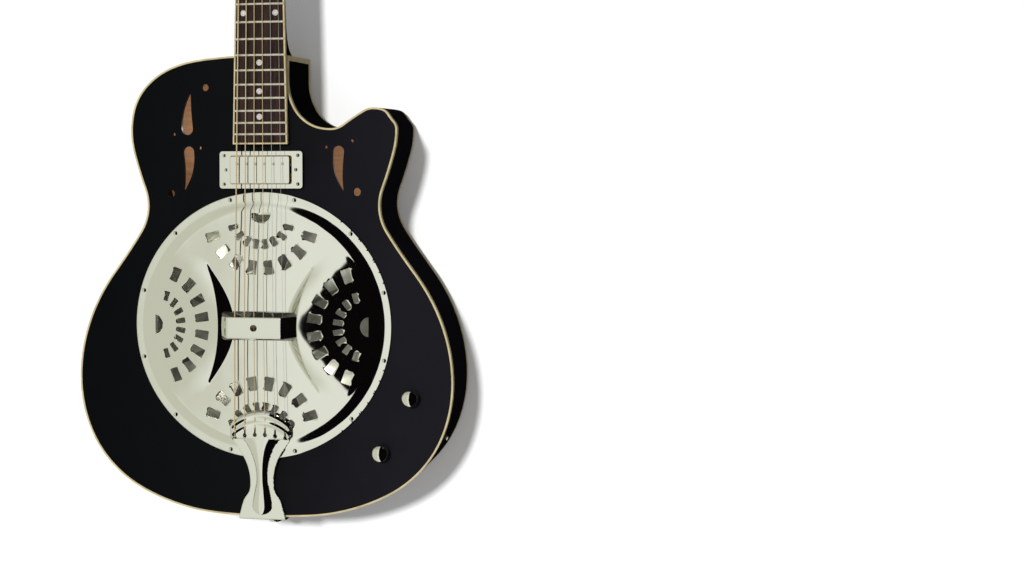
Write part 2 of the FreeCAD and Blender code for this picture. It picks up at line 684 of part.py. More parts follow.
def make_coverplate_screws():
    """Round-headed wood screws through the plate and the soundboard into the soundwell ring."""
    shapes = []
    for x, z in plate_screw_places(SCREW_CIRCLE):
        shank = Part.makeCylinder(SCREW_RADIUS, 14, Vector(x, FRONT - s["plate_thickness"], z), Y_AXIS)
        head = Part.makeSphere(2.6, Vector(x, FRONT - s["plate_thickness"] + 1.1, z))
        front = block(x - 5, x + 5, FRONT - 12, FRONT - s["plate_thickness"], z - 5, z + 5)
        shapes.append(shank.fuse(head.common(front)))
    feature("coverplate_screws", Part.makeCompound(shapes))


# Tailpiece and strap button

def tail_hole(radius=None):
    """The end screw's hole through the tail."""
    return Part.makeCylinder(radius or s["button_screw_radius"], 40, Vector(0, 0, -20), Z_AXIS)


def tail_outline():
    """The tailpiece seen from the front: a flared foot, a narrow stem and a wide head."""
    head, stem, foot = (s[k] / 2 for k in ("tail_width_top", "tail_width_stem", "tail_width_foot"))
    high = s["tail_length"]
    right = smooth([(foot, -4, 100), (0.79 * foot, 0.16 * high, 112), (stem, 0.34 * high, 90),
                    (stem + 0.31 * (head - stem), 0.56 * high, 58), (head - 1, 0.725 * high, 60),
                    (head, 0.77 * high, 90), (head, 0.86 * high, 90), (0.82 * head, 0.925 * high, 150),
                    (0, high, 180)])
    left = [e.mirror(Vector(0, 0, 0), X_AXIS) for e in right]
    base = Part.LineSegment(Vector(-foot, 0, -4), Vector(foot, 0, -4)).toShape()
    return face_of(right + left + [base])


def string_places(spread, count=6):
    """Across the strings, bass side first."""
    return [spread * (i / (count - 1) - 0.5) for i in range(count)]


def tail_anchor(x):
    """The keyhole's level for a string at x, on a gentle arch."""
    return 0.78 * s["tail_length"] - 3.5 * (2 * x / s["string_spread_tail"]) ** 2


def make_tailpiece():
    """A stamped plate that rises from the tail over the coverplate's flange and folds down at the rim."""
    skin, high = s["tail_thickness"], s["tail_length"]
    flat = FRONT - 0.3
    lift = FRONT - 8.2
    fold = FRONT + s["tail_fold"]
    side = [Vector(0, fold, -0.3), Vector(0, flat - 0.4, -0.3), Vector(0, flat - 1.6, 1.6),
            Vector(0, flat - 1.6, 0.3 * high), Vector(0, lift, 0.62 * high), Vector(0, lift, 1.02 * high),
            Vector(0, lift - skin, 1.02 * high), Vector(0, lift - skin, 0.6 * high),
            Vector(0, flat - 1.6 - skin, 0.29 * high), Vector(0, flat - 1.6 - skin, 0.8),
            Vector(0, flat - 0.4, -0.3 - skin), Vector(0, fold, -0.3 - skin)]
    strip = Part.Face(Part.makePolygon(side + side[:1])).extrude(Vector(2 * high, 0, 0))
    strip.translate(Vector(-high, 0, 0))
    plate = strip.common(slab(tail_outline(), FRONT - 40, BACK + 40))
    tools = [tail_hole()]
    for x in string_places(s["string_spread_tail"]):
        level = tail_anchor(x)
        tools.append(drill(x, level, 2, FRONT - 20, FRONT))
        tools.append(block(x - 0.8, x + 0.8, FRONT - 20, FRONT, level, level + 7))
    feature("tailpiece", plate.cut(tools))


def make_strap_button():
    """A waisted button on its screw, over the tailpiece's fold."""
    screw = "button_screw_radius"
    points = (("0", "-18"), (screw, "-18"), (screw, "tail_thickness + 0.3"), ("6.5", "tail_thickness + 0.3"),
              ("4.6", "tail_thickness + 2.5"), ("3.8", "tail_thickness + 6"), ("4.6", "tail_thickness + 9"),
              ("6.6", "tail_thickness + 10.6"), ("7", "tail_thickness + 12"), ("6.2", "tail_thickness + 13"),
              ("0", "tail_thickness + 13.4"))
    keep(turned("end_strap_button", points, facing(0, 0, 0, -Z_AXIS)), "end_strap_button")


# Pickup

def make_pickup_ring():
    inner_width = s["cover_width"] + 2 * s["cover_gap"]
    inner_height = s["cover_height"] + 2 * s["cover_gap"]
    centre = Vector(0, FRONT - s["ring_rise"], PICKUP_LEVEL)
    ring = rounded_plate(s["ring_width"], s["ring_height"], 3.2, s["ring_rise"], centre)
    hole = rounded_plate(inner_width, inner_height, 2.4, 3 * s["ring_rise"], centre - Vector(0, 5, 0))
    tools = [hole] + [drill(x, z, 1.1) for x, z in pickup_ring_screw_places()]
    tools += [drill(side * s["height_screw_spacing"] / 2, PICKUP_LEVEL, 1.2) for side in (-1, 1)]
    feature("pickup_ring", ring.cut(tools))
    screws = []
    for x, z in pickup_ring_screw_places():
        shank = Part.makeCylinder(1.1, 9, Vector(x, FRONT - s["ring_rise"], z), Y_AXIS)
        head = Part.makeSphere(2.2, Vector(x, FRONT - s["ring_rise"] + 1, z))
        front = block(x - 4, x + 4, FRONT - 20, FRONT - s["ring_rise"], z - 4, z + 4)
        screws.append(shank.fuse(head.common(front)))
    feature("pickup_ring_screws", Part.makeCompound(screws))


def pole_places():
    """Six adjustable pole screws, a little nearer the neck than the pickup's middle."""
    level = PICKUP_LEVEL + 0.215 * s["cover_height"]
    return [(s["pole_pitch"] * (i - 2.5), level) for i in range(6)]


def make_pickup():
    """A covered pickup on a baseplate whose ears hang on two sprung height screws."""
    top, wall = FRONT - s["cover_rise"], s["cover_wall"]
    corner = Vector(0, top, PICKUP_LEVEL)
    cover = rounded_plate(s["cover_width"], s["cover_height"], 2.2, s["cover_depth"], corner)
    edge = [e for e in cover.Edges if abs(e.BoundBox.YMax - top) < 1e-6 and abs(e.BoundBox.YMin - top) < 1e-6]
    cover = cover.makeFillet(1, edge)
    hollow = rounded_plate(s["cover_width"] - 2 * wall, s["cover_height"] - 2 * wall, 1.6, s["cover_depth"],
                           corner + Vector(0, wall, 0))
    poles = [drill(x, z, 1.6) for x, z in pole_places()]
    feature("pickup_cover", cover.cut([hollow] + poles))
    floor = top + s["cover_depth"]
    plate = block(-s["cover_width"] / 2, s["cover_width"] / 2, floor, floor + 1,
                  PICKUP_LEVEL - s["cover_height"] / 2, PICKUP_LEVEL + s["cover_height"] / 2)
    reach = s["height_screw_spacing"] / 2
    ears = block(-reach - 3.4, reach + 3.4, floor, floor + 1, PICKUP_LEVEL - 3.4, PICKUP_LEVEL + 3.4)
    holes = [drill(side * reach, PICKUP_LEVEL, 1.2) for side in (-1, 1)]
    feature("pickup_baseplate", plate.fuse(ears).removeSplitter().cut(holes))
    coils = []
    for side in (-1, 1):
        level = PICKUP_LEVEL + side * 0.215 * s["cover_height"]
        coil = block(-s["cover_width"] / 2 + 2, s["cover_width"] / 2 - 2, top + wall + 0.4, floor,
                     level - 5.6, level + 5.6)
        coils.append(coil.cut(poles) if side > 0 else coil)
    feature("pickup_coils", Part.makeCompound(coils))
    pins = []
    for x, z in pole_places():
        pin = Part.makeCylinder(1.6, s["cover_depth"] - 1 + 0.5, Vector(x, top - 0.5, z), Y_AXIS)
        pins.append(pin.cut(block(x - 2, x + 2, top - 1, top - 0.1, z - 0.3, z + 0.3)))
    feature("pickup_pole_screws", Part.makeCompound(pins))
    make_pickup_height(reach, floor)


def make_pickup_height(reach, floor):
    """The two height screws turn in the ring; a spring on each pushes the ear down."""
    screws, springs = [], []
    head_level = FRONT - s["ring_rise"]
    for side in (-1, 1):
        x = side * reach
        shank = Part.makeCylinder(1.1, floor + 6 - head_level, Vector(x, head_level, PICKUP_LEVEL), Y_AXIS)
        head = Part.makeSphere(2.1, Vector(x, head_level + 1, PICKUP_LEVEL))
        front = block(x - 4, x + 4, FRONT - 20, head_level, PICKUP_LEVEL - 4, PICKUP_LEVEL + 4)
        screws.append(shank.fuse(head.common(front)))
        long = floor - FRONT - 0.2
        tube = Part.makeCylinder(2.3, long, Vector(x, FRONT + 0.1, PICKUP_LEVEL), Y_AXIS)
        springs.append(tube.cut(Part.makeCylinder(1.7, long, Vector(x, FRONT + 0.1, PICKUP_LEVEL), Y_AXIS)))
    feature("pickup_height_screws", Part.makeCompound(screws))
    feature("pickup_springs", Part.makeCompound(springs))


# Controls

def make_controls():
    """Two potentiometers under the soundboard, their nuts, shafts and domed knobs."""
    under = FRONT + s["top_thickness"]
    cans, nuts = [], []
    bore = s["pot_shaft_radius"] + s["running_clearance"]
    for x, z in control_places():
        can = Part.makeCylinder(s["pot_radius"], 9, Vector(x, under, z), Y_AXIS)
        neck = Part.makeCylinder(s["pot_bushing_radius"], under - FRONT + 3.2,
                                 Vector(x, FRONT - 3.2, z), Y_AXIS)
        legs = [block(x + 4 * i - 1, x + 4 * i + 1, under + 2, under + 2.5, z - 14, z - 7)
                for i in (-1, 0, 1)]
        shaft_room = Part.makeCylinder(bore, under + 6 - (FRONT - 20), Vector(x, FRONT - 20, z), Y_AXIS)
        cans.append(union([can, neck] + legs).cut(shaft_room))
        nut = Part.makeCylinder(5.6, 2, Vector(x, FRONT - 2, z), Y_AXIS)
        nuts.append(nut.cut(Part.makeCylinder(s["pot_bushing_radius"], 4, Vector(x, FRONT - 3, z), Y_AXIS)))
    feature("control_pots", Part.makeCompound(cans))
    feature("pot_nuts", Part.makeCompound(nuts))
    for name, (x, z) in zip(("volume", "tone"), control_places()):
        place = facing(x, FRONT, z, -Y_AXIS)
        start = "-top_thickness - 5.5"
        end = "knob_height - 4"
        corners = (("0", start), ("pot_shaft_radius", start), ("pot_shaft_radius", end), ("0", end))
        shaft = turned(name + "_shaft", corners, place)
        keep(shaft, name + "_shaft")
        rim, high = "knob_radius", "knob_height"
        points = (("pot_shaft_radius", "4"), ("pot_shaft_radius", f"{high} - 4"), ("0", f"{high} - 4"),
                  ("0", high), (f"{rim} * 0.45", f"{high} - 0.5"), (f"{rim} * 0.78", f"{high} - 2.4"),
                  (f"{rim} * 0.96", f"{high} - 5.6"), (rim, f"{high} - 9"), (rim, "0.6"),
                  (f"{rim} - 1", "0.6"), (f"{rim} - 1", "4"))
        keep(turned(name + "_knob", points, place), name + "_knob")


def jack_station():
    """The point on the treble side at the jack's level, and the direction out of the side."""
    cutter = Part.makeLine(Vector(0, 0, s["jack_level"]), Vector(400, 0, s["jack_level"]))
    meetings = [(edge, pair[0]) for edge in OUTLINE.Edges for pair in edge.distToShape(cutter)[1]
                if edge.distToShape(cutter)[0] < 1e-5]
    edge, spot = max(meetings, key=lambda meeting: meeting[1].x)
    tangent = edge.tangentAt(edge.Curve.parameter(spot))
    outward = tangent.cross(Y_AXIS)
    outward = outward if outward.x > 0 else -outward
    return spot, outward


def jack_hole():
    spot, outward = jack_station()
    return Part.makeCylinder(s["jack_barrel"], 20, spot - outward * 12, outward)


def make_jack():
    """A barrel jack in the side: a flat round plate outside and the socket's barrel inside."""
    spot, outward = jack_station()
    points = (("jack_bore", "-rim_thickness - 26"), ("jack_barrel", "-rim_thickness - 26"),
              ("jack_barrel", "0.25"), ("jack_plate_radius", "0.25"), ("jack_plate_radius", "1.4"),
              ("jack_plate_radius - 0.8", "2.2"), ("jack_bore + 0.6", "2.6"), ("jack_bore", "2.2"))
    keep(turned("output_jack", points, Placement(spot, Rotation(Z_AXIS, outward))), "output_jack")


# Neck

def fret_level(number):
    """A fret's distance above the tail."""
    return s["saddle_level"] + s["scale_length"] * 2 ** (-number / 12)


def board_half(level, inset=0.0):
    """Half the board's width at a level."""
    share = (NUT_LEVEL - level) / (NUT_LEVEL - BOARD_END)
    return (s["board_width_nut"] + share * (s["board_width_end"] - s["board_width_nut"])) / 2 - inset


def camber(radius):
    """The long cylinder whose front is the board's curved face."""
    return Part.makeCylinder(radius, 3 * s["scale_length"],
                             Vector(0, BOARD_TOP + s["camber_radius"], -s["scale_length"]), Z_AXIS)


def board_blank(inset):
    """The tapered, cambered board, smaller by inset at its sides and lower end."""
    low = BOARD_END + inset
    corners = [(-board_half(low, inset), low), (board_half(low, inset), low),
               (board_half(NUT_LEVEL, inset), NUT_LEVEL), (-board_half(NUT_LEVEL, inset), NUT_LEVEL)]
    wire = Part.makePolygon([Vector(x, 0, z) for x, z in corners + corners[:1]])
    blank = slab(Part.Face(wire), BOARD_TOP - 1, BOARD_UNDER)
    return blank.common(camber(s["camber_radius"]))


def dot_places():
    """Single dots between frets, and a pair at the octave."""
    places = [(0, (fret_level(n) + fret_level(n - 1)) / 2) for n in (3, 5, 7, 9, 15, 17, 19)]
    octave = (fret_level(12) + fret_level(11)) / 2
    return places + [(side * s["double_dot_spacing"] / 2, octave) for side in (-1, 1)]


def make_fretboard():
    full, inner = board_blank(0), board_blank(s["board_binding"])
    dots = [drill(x, z, s["dot_radius"], BOARD_TOP - 2, BOARD_TOP + s["dot_depth"]) for x, z in dot_places()]
    feature("fretboard", inner.cut(dots))
    feature("fretboard_binding", full.cut(inner))
    feature("position_dots", Part.makeCompound([inner.common(dot) for dot in dots]))
    frets = []
    for n in range(1, int(s["fret_count"]) + 1):
        level, half = fret_level(n), s["fret_width"] / 2
        ends = (Vector(0, BOARD_TOP, level - half), Vector(0, BOARD_TOP, level + half))
        crown = Part.Arc(ends[0], Vector(0, BOARD_TOP - s["fret_height"], level), ends[1]).toShape()
        face = Part.Face(Part.Wire([crown, Part.LineSegment(ends[1], ends[0]).toShape()]))
        centre = Vector(0, BOARD_TOP + s["camber_radius"], level)
        angle = math.degrees(math.asin(board_half(level, 0.6) / s["camber_radius"]))
        face.rotate(centre, Z_AXIS, -angle)
        frets.append(face.revolve(centre, Z_AXIS, 2 * angle))
    feature("frets", Part.makeCompound(frets))


def groove(start, direction, radius):
    """A square-bottomed slot, open to the front, from a point along a string."""
    along = Vector(direction).normalize()
    across = Y_AXIS.cross(along).normalize()
    slot = Part.makeBox(2 * radius, 6 + radius, 13, Vector(-radius, -6, -1))
    slot.Placement = Placement(start, Rotation(across, along.cross(across), along, "ZXY"))
    return slot


def make_nut():
    """A cambered bone nut with a groove for each string."""
    half = s["board_width_nut"] / 2
    blank = block(-half, half, BOARD_TOP - 6, BOARD_UNDER, NUT_LEVEL, NUT_LEVEL + s["nut_length"])
    blank = blank.common(camber(s["camber_radius"] + s["nut_rise"]))
    grooves = []
    for i, radius in enumerate(STRING_RADII):
        _, saddle, bend, post = string_path(i)
        grooves += [groove(bend, far.sub(bend), radius + 0.12) for far in (saddle, post)]
    for slot in grooves:
        blank = blank.cut(slot)
    feature("nut", blank)


def half_section(width, depth, level):
    """The neck's cross-section: flat at the front, half an ellipse behind."""
    half = width / 2
    centre = Vector(0, BOARD_UNDER, level)
    points = []
    for i in range(13):
        angle = math.pi * i / 12
        points.append(centre + Vector(half * math.cos(angle), depth * math.sin(angle), 0))
    curve = Part.BSplineCurve()
    curve.interpolate(points)
    return Part.Wire([curve.toShape(), Part.LineSegment(points[-1], points[0]).toShape()])


def head_outline():
    """The headstock's face, from the nut up: a waist, straight sides and a gently arched top."""
    low, top = s["head_width_low"] / 2, s["head_width_top"] / 2
    high, corner = s["head_length"], 4.0
    neck = s["board_width_nut"] / 2 - 0.6
    right = smooth([(neck, 0, 88), (neck + 0.52 * (low - neck), 19, 58), (low, 38, 88),
                    (top - 0.1, high - corner, 89.5), (top - corner, high + 0.4, 172),
                    (0, high + s["head_crown"], 180)])
    left = [e.mirror(Vector(0, 0, 0), X_AXIS) for e in right]
    base = Part.LineSegment(Vector(-neck, 0, 0), Vector(neck, 0, 0)).toShape()
    return face_of(right + left + [base])


def post_places():
    """The six posts as (x, distance along the headstock), up the bass row and down the treble row."""
    half = s["post_spacing"] / 2
    rows = [s["first_post"] + i * s["post_pitch"] for i in range(3)]
    return [(-half, row) for row in rows] + [(half, row) for row in reversed(rows)]


def on_head(shape):
    """A shape moved from the headstock's own frame into the guitar's."""
    moved = shape.copy()
    moved.Placement = HEAD.multiply(moved.Placement)
    return moved


def rod_channel(past):
    """The truss rod's channel under the board, from the heel to a point past the nut."""
    radius = s["rod_radius"]
    low = s["body_length"] + 12
    start = Vector(0, BOARD_UNDER + radius + 0.8, low)
    return Part.makeCylinder(radius, NUT_LEVEL + s["nut_length"] + past - low, start, Z_AXIS)


def make_neck():
    """Neck, pointed heel, the tongue under the board and the tilted headstock in one piece of wood."""
    base = s["body_length"]
    joint = board_half(base) * 2
    stations = ((joint - 1, s["heel_depth"], base), (joint - 1.2, 0.6 * s["heel_depth"], base + 10),
                (joint - 1.6, 0.35 * s["heel_depth"], base + 27),
                (joint - 3, s["neck_depth_heel"] + 0.8, base + 60),
                ((joint + s["board_width_nut"]) / 2 - 0.6, (s["neck_depth_heel"] + s["neck_depth_nut"]) / 2,
                 (base + NUT_LEVEL) / 2),
                (s["board_width_nut"] - 0.4, s["neck_depth_nut"], NUT_LEVEL - 20),
                (s["board_width_nut"] - 0.4, s["neck_depth_nut"], NUT_LEVEL + s["nut_length"]))
    shaft = Part.makeLoft([half_section(*station) for station in stations], True, False)
    half = board_half(base) - 1
    tongue = block(-half, half, BOARD_UNDER, FRONT, BOARD_END + 2, base + 1)
    head = slab(head_outline(), 0, s["head_thickness"])
    front = [e for e in head.Edges if abs(e.BoundBox.YMin) < 1e-4 and abs(e.BoundBox.YMax) < 1e-4
            and e.BoundBox.ZMin > 1]
    head = head.makeChamfer(1, front)
    holes = [Part.makeCylinder(s["bushing_radius"], s["head_thickness"] + 4, Vector(x, -2, z), Y_AXIS)
             for x, z in post_places()]
    head = on_head(head.cut(holes))
    under_nut = block(-half, half, BOARD_UNDER - 20, BOARD_UNDER, NUT_LEVEL, NUT_LEVEL + s["nut_length"])
    wood = shaft.fuse([tongue, head]).cut([under_nut, rod_channel(ROD_POCKET)])
    feature("neck", wood)
    socket = Part.makeCylinder(1.6, 8, Vector(0, BOARD_UNDER + s["rod_radius"] + 0.8,
                                              NUT_LEVEL + s["nut_length"] + ROD_PAST_NUT - 6), Z_AXIS)
    feature("truss_rod", rod_channel(ROD_PAST_NUT).cut(socket))


def make_truss_cover():
    """A bell-shaped cover on the headstock's face, held by three small screws."""
    wide, high = 12.0, 49.5
    right = smooth([(wide, 1, 95), (9.2, 14, 98), (8.2, 30, 90), (7.2, 42, 105), (0, high, 180)])
    left = [e.mirror(Vector(0, 0, 0), X_AXIS) for e in right]
    base = Part.LineSegment(Vector(-wide, 0, 1), Vector(wide, 0, 1)).toShape()
    thick = 1.6
    plate = slab(face_of(right + left + [base]), -thick, 0)
    places = ((0, 45.6), (-7.3, 7), (7.3, 7))
    holes = [Part.makeCylinder(0.9, 8, Vector(x, -4, z), Y_AXIS) for x, z in places]
    feature("truss_rod_cover", on_head(plate.cut(holes)))
    screws = []
    for x, z in places:
        head = Part.makeCone(1.9, 1.3, 0.8, Vector(x, -thick, z), -Y_AXIS)
        screws.append(on_head(head.fuse(Part.makeCylinder(0.9, thick, Vector(x, -thick, z), Y_AXIS))))
    feature("truss_cover_screws", Part.makeCompound(screws))


# Tuners

def make_tuners():
    """Six enclosed tuners: a post with its worm wheel and a key with its worm turn in a housing."""
    housings, bushings = [], []
    face, back = 0.0, s["head_thickness"]
    clear, free = s["running_clearance"], s["free_clearance"]
    axis_depth = back + s["housing_depth"] / 2 + 0.2
    wheel = (axis_depth - 2, axis_depth + 2)
    for i, (x, z) in enumerate(post_places(), start=1):
        side = math.copysign(1, x)
        worm_z = z + GEAR_DISTANCE
        half = s["housing_width"] / 2
        top = worm_z + s["worm_radius"] + 2.2
        shell = block(x - half, x + half, back, back + s["housing_depth"], z - half + 1, top)
        boss = Part.makeCylinder(s["key_radius"] + 1.6, 3.2, Vector(x + side * half, axis_depth, worm_z),
                                 X_AXIS * side)
        rooms = [Part.makeCylinder(s["wheel_radius"] + free, 5, Vector(x, wheel[0] - 0.5, z), Y_AXIS),
                 Part.makeCylinder(s["worm_radius"] + free, 2 * half - 4,
                                   Vector(x - half + 2, axis_depth, worm_z), X_AXIS),
                 Part.makeCylinder(s["post_radius"] + clear, wheel[1] + 3.6 - back,
                                   Vector(x, back - 2, z), Y_AXIS),
                 Part.makeCylinder(s["key_radius"] + clear, half + 5,
                                   Vector(x, axis_depth, worm_z), X_AXIS * side)]
        housings.append(on_head(shell.fuse(boss).cut(rooms)))
        sleeve = Part.makeCylinder(s["bushing_radius"], back, Vector(x, face, z), Y_AXIS)
        washer = Part.makeCylinder(s["washer_radius"], s["washer_thickness"],
                                   Vector(x, face - s["washer_thickness"], z), Y_AXIS)
        collar = Part.makeCone(s["bushing_radius"] - 0.2, s["bushing_radius"] - 0.9, 1.2,
                               Vector(x, face - s["washer_thickness"], z), -Y_AXIS)
        bore = Part.makeCylinder(s["post_radius"] + clear, back + 10, Vector(x, face - 6, z), Y_AXIS)
        bushings.append(on_head(sleeve.fuse([washer, collar]).cut(bore)))
        make_post(i, x, z, wheel)
        make_key(i, x, worm_z, side, axis_depth)
    feature("tuner_housings", Part.makeCompound(housings))
    feature("tuner_bushings", Part.makeCompound(bushings))


def make_post(i, x, z, wheel):
    """A string post, waisted where the string winds, with its wheel inside the housing."""
    r = "post_radius"
    points = (("0", f"{-wheel[1] - 1.4}"), (r, f"{-wheel[1] - 1.4}"), (r, f"{-wheel[1]}"),
              ("wheel_radius", f"{-wheel[1]}"), ("wheel_radius", f"{-wheel[0]}"), (r, f"{-wheel[0]}"),
              (r, "washer_thickness + 2"), (f"{r} - 0.7", "washer_thickness + 3"),
              (f"{r} - 0.7", "post_height - 2.6"), (r, "post_height - 1.8"), (r, "post_height - 0.4"),
              (f"{r} - 0.5", "post_height"), ("0", "post_height"))
    place = HEAD.multiply(facing(x, 0, z, -Y_AXIS))
    keep(turned(f"tuner_post_{i}", points, place), f"tuner_post_{i}")


def make_key(i, x, z, side, depth):
    """A key: worm, shaft, collar and a half-moon button."""
    half = s["housing_width"] / 2
    start = x - side * (half - 2.4)
    button = side * s["button_reach"]
    neck = abs(button) - s["button_width"] / 2
    worm = Part.makeCylinder(s["worm_radius"], 2 * half - 4.8, Vector(start, depth, z), X_AXIS * side)
    shaft = Part.makeCylinder(s["key_radius"], neck + 2 - abs(start), Vector(start, depth, z), X_AXIS * side)
    collar = Part.makeCylinder(s["key_radius"] + 1, 2.6, Vector(side * (neck - 2.6), depth, z), X_AXIS * side)
    radius, thick = s["button_radius"], s["button_thickness"]
    inner = neck - 0.8
    disc = Part.makeCylinder(radius, thick, Vector(side * (inner + radius), depth - thick / 2, z), Y_AXIS)
    trim = Part.makeCylinder(radius * 1.9, thick + 2,
                             Vector(side * (neck + s["button_width"] - radius * 1.9), depth - thick / 2 - 1, z),
                             Y_AXIS)
    feature(f"tuner_key_{i}", on_head(union([worm, shaft, collar, disc.common(trim)])))


# Strings

def nut_points():
    """String centres at the nut, as (x, y)."""
    points = []
    for x, radius in zip(string_places(s["string_spread_nut"]), STRING_RADII):
        sag = s["camber_radius"] - math.sqrt(s["camber_radius"] ** 2 - x ** 2)
        points.append((x, BOARD_TOP + sag - s["string_height_nut"] - radius))
    return points


def string_path(i):
    """Anchor, saddle, nut front edge, nut rear edge and post, along one string's centre."""
    radius = STRING_RADII[i]
    clear = 0.06
    tail_x = string_places(s["string_spread_tail"])[i]
    anchor = Vector(tail_x, FRONT - 8.2 - s["tail_thickness"] - radius - 0.1, tail_anchor(tail_x) + 6)
    saddle = Vector(string_places(s["string_spread_saddle"])[i],
                    BOARD_TOP - s["string_height_saddle"] - radius - clear, s["saddle_level"])
    x, y = nut_points()[i]
    nut = Vector(x, y, NUT_LEVEL + 1.2)
    post_x, post_z = post_places()[i]
    side = math.copysign(1, post_x)
    wrap = s["post_radius"] - 0.7 + radius + 0.35
    height = s["washer_thickness"] + 4.6
    post = HEAD.multVec(Vector(post_x - side * wrap, -height, post_z - 1))
    return [anchor, saddle, nut, post]


def bent_wire(points, bend_radius):
    """A line through the points whose corners are small tangent arcs."""
    edges, start = [], points[0]
    for before, corner, after in zip(points, points[1:], points[2:]):
        back, ahead = before.sub(corner).normalize(), after.sub(corner).normalize()
        half_turn = (math.pi - back.getAngle(ahead)) / 2
        reach = bend_radius * math.tan(half_turn)
        crest = corner + (back + ahead).normalize() * (bend_radius / math.cos(half_turn) - bend_radius)
        first, last = corner + back * reach, corner + ahead * reach
        edges += [Part.LineSegment(start, first).toShape(), Part.Arc(first, crest, last).toShape()]
        start = last
    edges.append(Part.LineSegment(start, points[-1]).toShape())
    return Part.Wire(edges)


def make_string(i):
    """One string, swept along its bent line."""
    path = string_path(i)
    line = bent_wire(path, 6)
    section = Part.Wire(Part.makeCircle(STRING_RADII[i], path[0], path[1].sub(path[0])))
    return line.makePipeShell([section], True, False)


def make_strings():
    feature("wound_strings", Part.makeCompound([make_string(i) for i in range(4)]))
    feature("plain_strings", Part.makeCompound([make_string(i) for i in (4, 5)]))


def main():
    make_soundboard()
    make_back_and_sides()
    make_blocks()
    make_soundwell()
    make_cone()
    make_bridge()
    make_tension_screw()
    make_coverplate()
    make_palm_rest()
    make_coverplate_screws()
    make_tailpiece()
    make_strap_button()
    make_pickup_ring()
    make_pickup()
    make_controls()
    make_jack()
    make_neck()
    make_fretboard()
    make_nut()
    make_truss_cover()
    make_tuners()
    make_strings()
    doc.recompute()
    write_parts()


def write_parts():
    """Checks every object, then writes each sub-part to its own file."""
    broken = [item.Label for item in doc.Objects if {"Invalid", "Error"} & set(item.State)]
    broken += [item.Label for item in nodes if item.Shape.isNull() or not item.Shape.isValid()]
    if broken:
        raise RuntimeError("failed: " + ", ".join(broken))
    os.makedirs("parts", exist_ok=True)
    for item in nodes:
        item.Shape.exportStep(f"parts/{item.Label}.step")
    print(len(nodes), "sub-parts written")


main()
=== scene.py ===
"""Looks of an electric resonator guitar, hung in front of a pale backdrop.

Every length below is in millimetres unless its name says otherwise; MM turns it into metres.
"""
import json
import math

import bmesh
import bpy
from mathutils import Matrix, Vector
from mathutils.geometry import delaunay_2d_cdt


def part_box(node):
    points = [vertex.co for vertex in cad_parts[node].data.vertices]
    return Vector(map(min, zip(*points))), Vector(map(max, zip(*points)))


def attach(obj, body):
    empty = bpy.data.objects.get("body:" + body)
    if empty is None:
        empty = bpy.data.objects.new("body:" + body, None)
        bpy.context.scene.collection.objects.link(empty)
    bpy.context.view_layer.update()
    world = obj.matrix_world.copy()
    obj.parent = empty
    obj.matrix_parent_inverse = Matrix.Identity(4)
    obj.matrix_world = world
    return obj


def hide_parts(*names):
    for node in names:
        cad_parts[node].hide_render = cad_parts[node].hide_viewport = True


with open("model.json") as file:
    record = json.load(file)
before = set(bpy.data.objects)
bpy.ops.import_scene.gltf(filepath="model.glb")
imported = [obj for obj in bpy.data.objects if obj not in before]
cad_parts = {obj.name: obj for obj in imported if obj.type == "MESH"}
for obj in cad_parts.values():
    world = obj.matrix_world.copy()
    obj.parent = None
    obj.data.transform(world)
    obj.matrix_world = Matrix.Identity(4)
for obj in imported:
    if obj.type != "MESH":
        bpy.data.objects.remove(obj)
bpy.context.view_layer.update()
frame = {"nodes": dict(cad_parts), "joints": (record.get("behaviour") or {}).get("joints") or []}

MM = 0.001
NODES = frame["nodes"]
JOINTS = {joint["name"]: joint for joint in frame["joints"]}


def corners(node):
    """A node's lowest and highest corner, in millimetres."""
    low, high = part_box(node)
    return Vector(low) / MM, Vector(high) / MM


# Places taken from the frame
FRONT = corners("soundboard")[0].y
BACK = corners("back_plate")[1].y
PLATE_LOW, PLATE_HIGH = corners("coverplate")
PLATE_RADIUS = (PLATE_HIGH.x - PLATE_LOW.x) / 2
PLATE_LEVEL = (PLATE_HIGH.z + PLATE_LOW.z) / 2
TAIL_TOP = corners("tailpiece")[1].z
HEAD_FRONT = Vector(JOINTS["tuner_post_1_turn"]["axis"])
HEAD_UP = Vector((1, 0, 0)).cross(HEAD_FRONT) * -1
POSTS = [Vector(JOINTS[f"tuner_post_{i}_turn"]["pos_m"]) / MM for i in range(1, 7)]
KEYS = [Vector(JOINTS[f"tuner_key_{i}_turn"]["pos_m"]) / MM for i in range(1, 7)]


# Materials

def linear(colour):
    """An sRGB hex colour as linear RGBA."""
    values = [int(colour[i:i + 2], 16) / 255 for i in (1, 3, 5)]
    return [v / 12.92 if v <= 0.04045 else ((v + 0.055) / 1.055) ** 2.4 for v in values] + [1.0]


def add(tree, kind, settings=None, **inputs):
    """Adds a node; a socket given as an input is linked, other inputs are values, and n0 is input 0."""
    item = tree.nodes.new(kind)
    for name, value in (settings or {}).items():
        setattr(item, name, value)
    for name, value in inputs.items():
        numbered = name[0] == "n" and name[1:].isdigit()
        socket = item.inputs[int(name[1:]) if numbered else name.replace("_", " ")]
        if isinstance(value, bpy.types.NodeSocket):
            tree.links.new(value, socket)
        else:
            socket.default_value = value
    return item


def shader(name, **inputs):
    """A material with one Principled shader, and its node tree."""
    material = bpy.data.materials.new(name)
    material.use_nodes = True
    tree = material.node_tree
    tree.nodes.clear()
    surface = add(tree, "ShaderNodeBsdfPrincipled", None, **inputs)
    output = add(tree, "ShaderNodeOutputMaterial")
    tree.links.new(surface.outputs[0], output.inputs[0])
    return material, tree, surface


